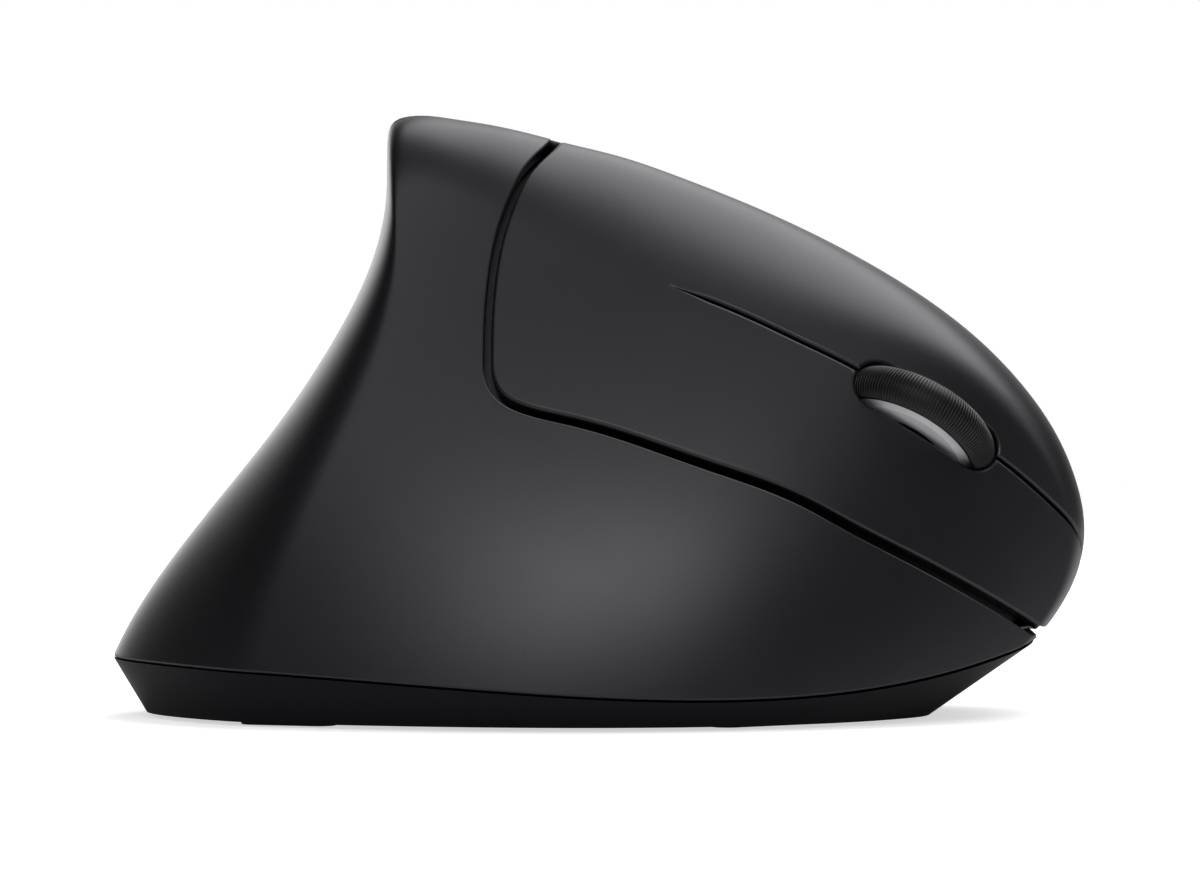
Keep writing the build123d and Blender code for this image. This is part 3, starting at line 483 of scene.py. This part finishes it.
def plateLipEnd(points):
    return lip["beyond"] - plateLevel(points)[0]


def splitFade(points):
    # the split's rounded edges grow out of nothing at its start
    return np.clip((toButton(points)[:, 0] - splitStart) / gaps["splitGrowth"], gaps["fadeFloor"], 1)


grid = outerGrid()
gridShape = grid.shape[:2]
formPoints = grid.reshape(-1, 3)
formNormals = gridNormals(grid).reshape(-1, 3)
formFaces = gridFaces(*gridShape)
if formNormals[formPoints[:, 0].argmax(), 0] < 0:
    formNormals = -formNormals
    formFaces = formFaces[:, ::-1]
print("outer form:", len(formFaces), "faces")


def cutSkin(edges, plainCuts=(), raised=0.0, radius=None, thickness=None, pushedIn=False):
    # a shell of the outer form inside all its edges, with the edges rounded over
    radius = radius or skin["edge"]
    thickness = thickness or skin["thickness"]
    outerPoints = formPoints + formNormals * raised
    data = np.concatenate([outerPoints, formNormals, outerPoints], axis=1)
    faces = formFaces
    for level in [*plainCuts, *(edge if callable(edge) else edge[0] for edge in edges)]:
        used = np.unique(faces)
        value = np.full(len(data), -1.0)
        value[used] = level(data[used, 6:9])
        data, faces = splitFaces(data, faces, value, False)
    used, faces = np.unique(faces, return_inverse=True)
    data, faces = data[used], faces.reshape(-1, 3)

    def closeness(points):
        # distance from the nearest edge as a share of its rounding, and that rounding
        best = np.full(len(points), np.inf)
        rounding = np.full(len(points), radius)
        for edge in edges:
            level, fade = (edge, None) if callable(edge) else edge
            local = radius * (fade(points) if fade else np.ones(len(points)))
            share = level(points) / local
            nearer = share < best
            best[nearer] = share[nearer]
            rounding[nearer] = local[nearer]
        return best, rounding

    share, _ = closeness(data[:, 6:9])
    data = np.concatenate([data, share[:, None]], axis=1)
    for level in skin["levels"]:
        data, faces = splitFaces(data, faces, data[:, 9] - level, True)
    normal = data[:, 3:6] / np.linalg.norm(data[:, 3:6], axis=1, keepdims=True)
    base, source = data[:, 0:3], data[:, 6:9]
    share, local = closeness(source)
    near = np.where(share < 1)[0]
    share = np.clip(share, 0, 1)
    helper = np.where(np.abs(normal[near, 2:3]) < 0.9, [[0.0, 0.0, 1.0]], [[1.0, 0.0, 0.0]])
    first = np.cross(helper, normal[near])
    first /= np.linalg.norm(first, axis=1, keepdims=True)
    second = np.cross(normal[near], first)
    probe = skin["probe"]
    here, _ = closeness(source[near])
    slopeFirst = (closeness(source[near] + first * probe)[0] - here) / probe
    slopeSecond = (closeness(source[near] + second * probe)[0] - here) / probe
    inward = first * slopeFirst[:, None] + second * slopeSecond[:, None]
    inward /= np.maximum(np.linalg.norm(inward, axis=1, keepdims=True), 1e-9)
    lean = 1 - share[near][:, None]
    upright = np.sqrt(np.maximum(1 - lean ** 2, 0))
    outer = base.copy()
    outer[near] -= normal[near] * (1 - upright) * local[near][:, None]
    shaded = normal.copy()
    shaded[near] = normal[near] * upright - inward * lean
    # a cap that is pressed sideways has its walls along that way
    inner = np.array([[-1.0, 0.0, 0.0]]) if pushedIn else normal
    under = base - inner * thickness
    count = len(outer)
    directed = np.concatenate([faces[:, [0, 1]], faces[:, [1, 2]], faces[:, [2, 0]]])
    ordered = np.sort(directed, axis=1)
    _, index, uses = np.unique(ordered, axis=0, return_index=True, return_counts=True)
    border = directed[index[uses == 1]]
    walls = np.concatenate([
        np.stack([border[:, 1], border[:, 0], border[:, 0] + count], axis=1),
        np.stack([border[:, 1], border[:, 0] + count, border[:, 1] + count], axis=1),
    ])
    points = np.concatenate([outer, under])
    normals = np.concatenate([shaded, -normal])
    return points, normals, np.concatenate([faces, faces[:, ::-1] + count, walls])


def makeMesh(name, points, normals, faces):
    mesh = bpy.data.meshes.new(name)
    mesh.from_pydata((points * mm).tolist(), [], faces.tolist())
    mesh.polygons.foreach_set("use_smooth", np.ones(len(faces), bool))
    if normals is not None:
        mesh.normals_split_custom_set_from_vertices(normals.tolist())
    piece = bpy.data.objects.new(name, mesh)
    bpy.context.scene.collection.objects.link(piece)
    return piece


palm = cutSkin([fingerOfCrest, outsidePlate, aboveSeam])
openings = [aroundCap(name) for name in thumbPieces["buttons"]]
thumb = cutSkin([thumbOfCrest, aboveSeam, *openings, aroundGrip])

# The frame's origin is under the middle of the whole box
cadLow = np.minimum(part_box("palm_shell")[0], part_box("thumb_shell")[0]) / mm
cadHigh = np.maximum(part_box("palm_shell")[1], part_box("thumb_shell")[1]) / mm
both = np.concatenate([palm[0], thumb[0]])
shift = ((cadLow + cadHigh) / 2 - (both.min(axis=0) + both.max(axis=0)) / 2) * (1, 1, 0)
print("origin shift", shift.round(4), "z", (both.max(axis=0) - cadHigh).round(3))


def placed(points):
    return points + shift


def newMaterial(name, color, roughness, metallic=0.0, specular=0.5, tint=(1.0, 1.0, 1.0)):
    material = bpy.data.materials.new(name)
    material.use_nodes = True
    shader = material.node_tree.nodes["Principled BSDF"]
    shader.inputs["Base Color"].default_value = (*color, 1)
    shader.inputs["Roughness"].default_value = roughness
    shader.inputs["Metallic"].default_value = metallic
    shader.inputs["Specular IOR Level"].default_value = specular
    shader.inputs["Specular Tint"].default_value = (*tint, 1)
    return material, shader


def addNode(material, kind, **values):
    node = material.node_tree.nodes.new(kind)
    for key, value in values.items():
        if key in node.inputs:
            node.inputs[key].default_value = value
        else:
            setattr(node, key, value)
    return node


def link(material, source, target):
    material.node_tree.links.new(source, target)


def noiseField(material, scale, detail=3.0):
    place = addNode(material, "ShaderNodeTexCoord")
    noise = addNode(material, "ShaderNodeTexNoise", Scale=scale, Detail=detail)
    link(material, place.outputs["Object"], noise.inputs["Vector"])
    return noise.outputs["Fac"]


def spread(material, field, low, high):
    scaled = addNode(material, "ShaderNodeMapRange")
    scaled.inputs["To Min"].default_value = low
    scaled.inputs["To Max"].default_value = high
    link(material, field, scaled.inputs["Value"])
    return scaled.outputs["Result"]


def mouldedPlastic(name, color, roughness, grain=0.35, grainSize=0.30, variation=0.04, **gloss):
    # moulded plastic: fine spark texture, and a faint unevenness of gloss and colour
    material, shader = newMaterial(name, color, roughness, **gloss)
    fine = noiseField(material, 1 / (grainSize * mm), 2.0)
    bump = addNode(material, "ShaderNodeBump", Strength=grain, Distance=0.02 * mm)
    link(material, fine, bump.inputs["Height"])
    link(material, bump.outputs["Normal"], shader.inputs["Normal"])
    broad = noiseField(material, 60.0)
    uneven = spread(material, broad, roughness - variation, roughness + variation)
    link(material, uneven, shader.inputs["Roughness"])
    tint = addNode(material, "ShaderNodeMix", data_type="RGBA")
    tint.inputs[6].default_value = (*(value * 0.86 for value in color), 1)
    tint.inputs[7].default_value = (*(value * 1.14 for value in color), 1)
    link(material, broad, tint.inputs[0])
    link(material, tint.outputs[2], shader.inputs["Base Color"])
    return material


def brushedMetal(name, color, roughness, scratch=0.1):
    material, shader = newMaterial(name, color, roughness, metallic=1.0)
    place = addNode(material, "ShaderNodeTexCoord")
    stretch = addNode(material, "ShaderNodeMapping")
    stretch.inputs["Scale"].default_value = (300, 300, 4000)
    noise = addNode(material, "ShaderNodeTexNoise", Scale=1.0, Detail=3.0)
    link(material, place.outputs["Object"], stretch.inputs["Vector"])
    link(material, stretch.outputs["Vector"], noise.inputs["Vector"])
    uneven = spread(material, noise.outputs["Fac"], roughness * 0.7, roughness * 1.3)
    link(material, uneven, shader.inputs["Roughness"])
    bump = addNode(material, "ShaderNodeBump", Strength=scratch, Distance=0.01 * mm)
    link(material, noise.outputs["Fac"], bump.inputs["Height"])
    link(material, bump.outputs["Normal"], shader.inputs["Normal"])
    return material


coolTint = (0.93, 0.93, 1.0)
satin = {"specular": 0.7, "tint": coolTint}
finishes = {
    "shell": mouldedPlastic("satinShell", (0.0052, 0.0052, 0.0064), 0.40, **satin),
    "button": mouldedPlastic("satinButton", (0.0054, 0.0054, 0.0066), 0.40, **satin),
    "base": mouldedPlastic("darkBase", (0.0035, 0.0040, 0.0052), 0.50, specular=0.18, tint=coolTint),
    "thumbButton": mouldedPlastic("thumbButtonPlastic", (0.006, 0.006, 0.0065), 0.28, grain=0.15),
    "grip": mouldedPlastic(
        "softGrip", (0.009, 0.009, 0.0095), 0.62, grain=0.8, grainSize=0.55, specular=0.35),
    "tyre": mouldedPlastic("wheelRubber", (0.0055, 0.0055, 0.0058), 0.42, grain=0.3),
    "hub": mouldedPlastic("hubPlastic", (0.10, 0.10, 0.105), 0.35, grain=0.15),
    "ring": mouldedPlastic("silverRing", (0.88, 0.89, 0.91), 0.26, grain=0.05, metallic=0.1),
    "steel": brushedMetal("plainSteel", (0.56, 0.57, 0.58), 0.32),
    "inner": mouldedPlastic("innerPlastic", (0.012, 0.012, 0.013), 0.50),
    "board": mouldedPlastic("boardLacquer", (0.008, 0.036, 0.016), 0.35, grain=0.1),
    "switch": mouldedPlastic("switchPlastic", (0.02, 0.02, 0.021), 0.45),
    "plunger": mouldedPlastic("plungerPlastic", (0.62, 0.61, 0.58), 0.45),
    "battery": mouldedPlastic("batterySleeve", (0.05, 0.05, 0.055), 0.30, grain=0.1),
    "foot": mouldedPlastic("slidingFoot", (0.035, 0.035, 0.037), 0.28, grain=0.2),
}
lens, lensShader = newMaterial("clearLens", (0.9, 0.92, 0.93), 0.08)
lensShader.inputs["Transmission Weight"].default_value = 0.9
lensRough = noiseField(lens, 900.0)
link(lens, spread(lens, lensRough, 0.05, 0.12), lensShader.inputs["Roughness"])
finishes["lens"] = lens

nodeFinish = {
    "base": "base", "battery_door": "base", "power_slider": "thumbButton", "receiver": "switch",
    "receiver_plug": "steel", "sensor_lens": "lens", "wheel_encoder": "switch",
    "wheel_axle": "steel", "optical_sensor": "switch", "wheel_carrier": "inner",
}
# for the other nodes, the first of these that is in the name
nameFinish = {
    "_switch": "switch", "_plunger": "plunger", "board": "board", "battery_p": "steel",
    "battery_s": "steel", "battery": "battery", "foot": "foot", "screw": "steel", "ring": "ring",
    "hub": "hub", "tyre": "tyre", "grip": "grip", "thumb_button": "thumbButton",
    "speed": "thumbButton", "button": "button", "shell": "shell",
}
for name, part in nodes.items():
    inName = (kind for key, kind in nameFinish.items() if key in name)
    kind = nodeFinish.get(name) or next(inName, "inner")
    part.data.materials.clear()
    part.data.materials.append(finishes[kind])
print("materials ready")


def dress(name, data, finish, slot, body, *replaced):
    points, normals, faces = data
    piece = makeMesh(name, placed(points), normals, faces)
    piece.data.materials.append(finishes[finish])
    if body:
        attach(piece, body)
    if replaced:
        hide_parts(*replaced)
    print(name, len(faces), "faces")
    return piece


dress("palmCover", palm, "shell", "shell_plastic", "housing", "palm_shell")
dress("thumbCover", thumb, "shell", "shell_plastic", "housing", "thumb_shell")
lipShape = {"raised": -lip["depth"], "thickness": lip["thickness"]}
for name, edges in (
    ("crestLip", [crestLipStart, crestLipEnd, aboveSeam, plateLipStart]),
    ("plateLip", [plateLipStart, plateLipEnd, aboveSeam, crestLipStart]),
):
    dress(name, cutSkin(edges, **lipShape), "shell", "shell_plastic", "housing")
plateEdges = [buttonOfCrest, insidePlate]
fixedPlate = cutSkin(plateEdges, [behindBend], radius=skin["plateEdge"])
dress("plateCover", fixedPlate, "button", "shell_plastic", "housing", "button_plate")
# the main buttons go on from the fixed plate at its bend line; they replace the button parts but are
# attached to no body
for name, side, body in (
    ("upperButton", upperOfSplit, "left_button"),
    ("lowerButton", lowerOfSplit, "right_button"),
):
    edges = [*plateEdges, (side, splitFade), offSlot]
    data = cutSkin(edges, [frontOfBend], radius=skin["plateEdge"])
    piece = dress(name, data, "button", "shell_plastic", None, body)
    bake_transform(piece)

capShape = {
    "pushedIn": True,
    "raised": thumbPieces["proud"],
    "radius": thumbPieces["capEdge"],
    "thickness": thumbPieces["capDepth"] + thumbPieces["proud"],
}
for name, body in (
    ("thumbBack", "thumb_button_back"),
    ("thumbForward", "thumb_button_forward"),
    ("speed", "speed_button"),
):
    cap = cutSkin([insideCap(name)], [thumbOfCrest], **capShape)
    dress(name + "Cap", cap, "thumbButton", "thumb_button_plastic", body, body)
gripShape = {"radius": thumbPieces["gripEdge"], "thickness": thumbPieces["gripDepth"]}
grip = cutSkin([insideGrip], [thumbOfCrest], **gripShape)
dress("thumbInlay", grip, "grip", "soft_grip", "housing", "thumb_grip")

# Scroll wheel, turned about its axle
wheel = {
    "radius": 10.9,
    "ribHeight": 0.30,
    "ribWidth": 0.29,
    "ribReach": 0.95,
    "ribs": 160,
    "halfWidth": 2.4,
    "crownStart": 9.45,
    "innerRadius": 9.1,
    "hubRadius": 8.2,
    "hubHalf": 1.1,
    "ringHalf": 1.25,
    "ringBevel": 7.3,
    "ringFace": 2.25,
    "ringInner": 4.6,
    "ringLap": 0.25,
    "bead": 0.12,
    "arcPoints": 15,
    "proud": 5.1,
    "segments": 192,
}


def turnedShape(name, profile, segments, smooth=35):
    # closed solid of revolution about Z, from a closed profile of radius and height
    profile = np.asarray(profile, float)
    angle = np.linspace(0, 2 * math.pi, segments, endpoint=False)
    radius, height = profile[:, 0], profile[:, 1]
    rows = np.cos(angle), np.sin(angle), np.ones(segments)
    points = [np.outer(row, column) for row, column in zip(rows, (radius, radius, height))]
    points = np.stack(points, axis=-1).reshape(-1, 3)
    index = np.arange(segments * len(profile)).reshape(segments, -1)
    ahead = np.roll(index, -1, axis=0)
    corners = [index, ahead, np.roll(ahead, -1, axis=1), np.roll(index, -1, axis=1)]
    quads = np.stack(corners, axis=-1).reshape(-1, 4)
    area = (radius * np.roll(height, -1) - np.roll(radius, -1) * height).sum()
    if area < 0:
        quads = quads[:, ::-1]
    piece = makeMesh(name, points, None, quads)
    piece.data.set_sharp_from_angle(angle=math.radians(smooth))
    return piece


def roundedProfile(corners, radius, steps=4):
    # each corner of a closed outline turned into a short arc
    corners = np.asarray(corners, float)
    result = []
    for k, corner in enumerate(corners):
        before = corners[k - 1] - corner
        after = corners[(k + 1) % len(corners)] - corner
        reach = min(radius, 0.45 * np.linalg.norm(before), 0.45 * np.linalg.norm(after))
        start = corner + before / np.linalg.norm(before) * reach
        end = corner + after / np.linalg.norm(after) * reach
        for share in np.linspace(0, 1, steps + 1):
            sides = (1 - share) ** 2 * start + 2 * share * (1 - share) * corner
            result.append(sides + share ** 2 * end)
    return np.array(result)


def arcThrough(start, middle, end, count):
    # points of the circle through three places of the profile
    start, middle, end = (np.asarray(place, float) for place in (start, middle, end))
    system = 2 * np.array([middle - start, end - start])
    squares = [middle @ middle - start @ start, end @ end - start @ start]
    center = np.linalg.solve(system, squares)
    angles = [math.atan2(*(place - center)[::-1]) for place in (start, end)]
    return [center + np.linalg.norm(start - center) * np.array([math.cos(a), math.sin(a)])
            for a in np.linspace(*angles, count)]


class NodeTree:
    # a Geometry Nodes tree with named inputs, whose result becomes a plain mesh
    def __init__(self, name, inputs):
        self.tree = bpy.data.node_groups.new(name, "GeometryNodeTree")
        kinds = {"Geometry": "NodeSocketGeometry", "Finish": "NodeSocketMaterial"}
        self.names = {}
        for label, value in {"Geometry": None, **inputs, "Finish": None}.items():
            number = "NodeSocketInt" if isinstance(value, int) else "NodeSocketFloat"
            kind = kinds.get(label, number)
            socket = self.tree.interface.new_socket(name=label, in_out="INPUT", socket_type=kind)
            self.names[label] = socket.identifier
        self.tree.interface.new_socket(
            name="Geometry", in_out="OUTPUT", socket_type=kinds["Geometry"])
        self.inputs = inputs
        self.source = self.tree.nodes.new("NodeGroupInput")

    def take(self, label):
        return self.source.outputs[label]

    def add(self, kind, output, settings=None, **inputs):
        node = self.tree.nodes.new(kind)
        for key, value in (settings or {}).items():
            setattr(node, key, value)
        for key, value in inputs.items():
            # n0, n1 and so on name a socket by its number
            numbered = key[0] == "n" and key[1:].isdigit()
            socket = node.inputs[int(key[1:]) if numbered else key]
            if isinstance(value, bpy.types.NodeSocket):
                self.tree.links.new(value, socket)
            else:
                socket.default_value = value
        return node.outputs[output]

    def math(self, operation, first, second):
        return self.add("ShaderNodeMath", 0, {"operation": operation}, n0=first, n1=second)

    def point(self, x=0.0, y=0.0, z=0.0):
        return self.add("ShaderNodeCombineXYZ", 0, None, X=x, Y=y, Z=z)

    def join(self, *parts):
        node = self.tree.nodes.new("GeometryNodeJoinGeometry")
        for part in reversed(parts):
            self.tree.links.new(part, node.inputs[0])
        return node.outputs[0]

    def finish(self, shape):
        finish = self.take("Finish")
        shape = self.add("GeometryNodeRealizeInstances", 0, None, Geometry=shape)
        shape = self.add("GeometryNodeSetMaterial", 0, None, Geometry=shape, Material=finish)
        output = self.tree.nodes.new("NodeGroupOutput")
        self.tree.links.new(shape, output.inputs[0])

    def build(self, piece, finish):
        # the evaluated result as a new plain piece; the piece with the modifier goes
        modifier = piece.modifiers.new("shape", "NODES")
        modifier.node_group = self.tree
        for label, value in self.inputs.items():
            modifier[self.names[label]] = value
        modifier[self.names["Finish"]] = finish
        bpy.context.view_layer.update()
        graph = bpy.context.evaluated_depsgraph_get()
        mesh = bpy.data.meshes.new_from_object(piece.evaluated_get(graph))
        name = piece.name
        piece.modifiers.clear()
        bpy.data.objects.remove(piece)
        result = bpy.data.objects.new(name, mesh)
        bpy.context.scene.collection.objects.link(result)
        return result


def ribbedTyre():
    # black rubber crown with fine cross ribs all round
    ground = wheel["radius"] - wheel["ribHeight"]
    edge, shoulder = wheel["halfWidth"], wheel["crownStart"]
    crown = arcThrough((shoulder, -edge), (ground, 0), (shoulder, edge), wheel["arcPoints"])
    half = [
        (wheel["innerRadius"], edge), (wheel["innerRadius"], wheel["hubHalf"]),
        (wheel["hubRadius"], wheel["hubHalf"]),
    ]
    inner = [*half, *((radius, -height) for radius, height in half[::-1])]
    body = turnedShape("ribbedTyre", [*crown, *inner], wheel["segments"])
    ribs = NodeTree("crossRibs", {
        "Ribs": wheel["ribs"],
        "Radius": (wheel["radius"] - wheel["ribWidth"] / 2) * mm,
        "Shoulder": (shoulder - wheel["ribWidth"] / 4) * mm,
        "Half Width": edge * wheel["ribReach"] * mm,
        "Rib Width": wheel["ribWidth"] * mm,
    })
    # the rib's ends lie on the crown, where its circle has dropped by the share of the reach squared
    drop = ribs.math("SUBTRACT", ribs.take("Radius"), ribs.take("Shoulder"))
    drop = ribs.math("MULTIPLY", drop, wheel["ribReach"] ** 2)
    end = ribs.math("SUBTRACT", ribs.take("Radius"), drop)
    low = ribs.math("MULTIPLY", ribs.take("Half Width"), -1.0)
    arc = ribs.add(
        "GeometryNodeCurveArc", 0, {"mode": "POINTS"}, Resolution=7,
        Start=ribs.point(x=end, z=low),
        Middle=ribs.point(x=ribs.take("Radius")),
        End=ribs.point(x=end, z=ribs.take("Half Width")),
    )
    radius = ribs.math("MULTIPLY", ribs.take("Rib Width"), 0.5)
    profile = ribs.add(
        "GeometryNodeCurvePrimitiveCircle", 0, {"mode": "RADIUS"}, Resolution=6, Radius=radius)
    section = {"Profile Curve": profile, "Fill Caps": True}
    rib = ribs.add("GeometryNodeCurveToMesh", 0, None, Curve=arc, **section)
    places = ribs.add(
        "GeometryNodeMeshLine", 0, {"mode": "OFFSET"},
        Count=ribs.take("Ribs"), Offset=(0.0, 0.0, 0.0),
    )
    number = ribs.add("GeometryNodeInputIndex", 0)
    step = ribs.math("DIVIDE", 2 * math.pi, ribs.take("Ribs"))
    turn = ribs.point(z=ribs.math("MULTIPLY", number, step))
    turned = ribs.add(
        "GeometryNodeInstanceOnPoints", 0, None, Points=places, Instance=rib, Rotation=turn)
    ribs.finish(ribs.join(ribs.take("Geometry"), turned))
    return ribs.build(body, finishes["tyre"])


def sideRing(name, side):
    # bright ring in the wheel's side: rim, sloping band and flat face
    back = wheel["hubHalf"] - wheel["ringLap"]
    corners = [
        (wheel["ringInner"], back), (wheel["innerRadius"], back),
        (wheel["innerRadius"], wheel["ringHalf"]), (wheel["ringBevel"], wheel["ringFace"]),
        (wheel["ringInner"], wheel["ringFace"]),
    ]
    profile = roundedProfile(corners, wheel["bead"])
    profile[:, 1] *= side
    ring = turnedShape(name, profile, wheel["segments"], 40)
    ring.data.materials.append(finishes["ring"])
    return ring


axle = buttonOrigin + buttonAxes[2] * (wheel["proud"] - wheel["radius"]) + shift
wheelPlace = Matrix.Identity(4)
for k, column in enumerate((buttonAxes[0], -buttonAxes[2], buttonAxes[1], axle * mm)):
    for row in range(3):
        wheelPlace[row][k] = column[row]
for piece, slot, node in (
    (ribbedTyre(), "tyre_rubber", "wheel_tyre"),
    (sideRing("upperRing", 1), "ring_metal", "wheel_ring_upper"),
    (sideRing("lowerRing", -1), "ring_metal", "wheel_ring_lower"),
):
    piece.data.transform(wheelPlace)
    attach(piece, "wheel")
    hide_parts(node)
    low, high = (np.array(corner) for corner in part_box(node))
    found = np.array([vertex.co for vertex in piece.data.vertices])
    print(piece.name, len(piece.data.polygons), "faces, off by",
          ((found.min(axis=0) + found.max(axis=0) - low - high) / 2 / mm).round(3))

# Floor, light and camera
studio = {
    "floorSize": 0.9,
    "floorColor": 0.80,
    "floorLift": 0.60,
    "worldLevel": 0.25,
    "glossLevel": 0.03,
    "backdrop": {"toward": (-0.95, -0.30, 0.05), "start": 0.70, "full": 0.97},
    "camera": {
        "distance": 1500.0,
        "elevation": 2.8,
        "pixel": 0.1232,
        "across": 1200,
        "sensor": 36.0,
        "farthest": 20.0,
        "lookAt": (0.0, 0.0, 34.65),
    },
    # each lamp: place, width, height, power
    "lamps": {
        "topSoftbox": ((-0.34, 0.26, 0.74), 0.80, 0.80, 5.9),
        "sideSoftbox": ((0.70, -0.02, 0.58), 0.55, 0.26, 2.1),
        "rearPanel": ((-0.74, -0.30, 0.13), 0.34, 0.22, 0.40),
        "frontPanel": ((-0.06, 0.72, 0.42), 0.34, 0.34, 0.30),
    },
    "target": (0, 0, 0.04),
}

floorMesh = bpy.data.meshes.new("floor")
reach = studio["floorSize"] / 2
floorCorners = [(-reach, -reach, 0), (reach, -reach, 0), (reach, reach, 0), (-reach, reach, 0)]
floorMesh.from_pydata(floorCorners, [], [(0, 1, 2, 3)])
floor = bpy.data.objects.new("floor", floorMesh)
bpy.context.scene.collection.objects.link(floor)
level = studio["floorColor"]
floorPaint, floorShader = newMaterial("paleFloor", (level, level, level), 0.9, specular=0.1)
seen = addNode(floorPaint, "ShaderNodeLightPath")
lookedAt = addNode(floorPaint, "ShaderNodeMath", operation="MAXIMUM")
link(floorPaint, seen.outputs["Is Camera Ray"], lookedAt.inputs[0])
link(floorPaint, seen.outputs["Is Transmission Ray"], lookedAt.inputs[1])
lift = addNode(floorPaint, "ShaderNodeMath", operation="MULTIPLY")
lift.inputs[1].default_value = studio["floorLift"]
link(floorPaint, lookedAt.outputs[0], lift.inputs[0])
floorShader.inputs["Emission Color"].default_value = (1, 1, 1, 1)
link(floorPaint, lift.outputs[0], floorShader.inputs["Emission Strength"])
floorMesh.materials.append(floorPaint)

world = bpy.data.worlds.new("studio")
bpy.context.scene.world = world
world.use_nodes = True
background = world.node_tree.nodes["Background"]


def worldNode(kind, operation=None, first=None, second=None):
    node = world.node_tree.nodes.new(kind)
    if operation:
        node.operation = operation
    for socket, value in zip(node.inputs, (first, second)):
        if isinstance(value, bpy.types.NodeSocket):
            world.node_tree.links.new(value, socket)
        elif value is not None:
            socket.default_value = value
    return node


def worldMath(operation, first, second):
    return worldNode("ShaderNodeMath", operation, first, second).outputs[0]


# white for the camera and through glass; reflections see a white backdrop behind and a dim room
seen = worldNode("ShaderNodeLightPath")
toward = worldNode("ShaderNodeTexCoord").outputs["Generated"]
wanted = Vector(studio["backdrop"]["toward"]).normalized()
facing = worldNode("ShaderNodeVectorMath", "DOT_PRODUCT", toward, tuple(wanted)).outputs["Value"]
backdrop = worldNode("ShaderNodeMapRange")
backdrop.interpolation_type = "SMOOTHSTEP"
world.node_tree.links.new(facing, backdrop.inputs["Value"])
backdrop.inputs["From Min"].default_value = studio["backdrop"]["start"]
backdrop.inputs["From Max"].default_value = studio["backdrop"]["full"]
backdrop.inputs["To Min"].default_value = studio["glossLevel"]
glossyRay = seen.outputs["Is Glossy Ray"]
glossy = worldMath("MULTIPLY", glossyRay, backdrop.outputs[0])
plain = worldMath("MULTIPLY", worldMath("SUBTRACT", 1.0, glossyRay), studio["worldLevel"])
direct = worldMath("MAXIMUM", seen.outputs["Is Camera Ray"], seen.outputs["Is Transmission Ray"])
level = worldMath("MAXIMUM", worldMath("ADD", glossy, plain), direct)
world.node_tree.links.new(level, background.inputs["Strength"])
background.inputs["Color"].default_value = (1, 1, 1, 1)

for name, (place, width, height, power) in studio["lamps"].items():
    light = bpy.data.lights.new(name, "AREA")
    light.shape = "RECTANGLE"
    light.size, light.size_y = width, height
    light.energy = power
    lamp = bpy.data.objects.new(name, light)
    bpy.context.scene.collection.objects.link(lamp)
    lamp.location = place
    sight = Vector(studio["target"]) - Vector(place)
    lamp.rotation_euler = sight.to_track_quat("-Z", "Y").to_euler()

view = studio["camera"]
tilt = math.radians(view["elevation"])
cameraData = bpy.data.cameras.new("camera")
camera = bpy.data.objects.new("camera", cameraData)
bpy.context.scene.collection.objects.link(camera)
aim = (np.array(view["lookAt"]) + shift) * mm
offset = Vector((math.cos(tilt), 0, math.sin(tilt))) * view["distance"] * mm
camera.location = Vector(aim) + offset
camera.rotation_euler = (math.pi / 2 - tilt, 0, math.pi / 2)
cameraData.sensor_width = view["sensor"]
cameraData.lens = view["sensor"] * view["distance"] / (view["across"] * view["pixel"])
cameraData.clip_end = view["farthest"]
bpy.context.scene.camera = camera
bpy.context.scene.view_settings.view_transform = "Standard"
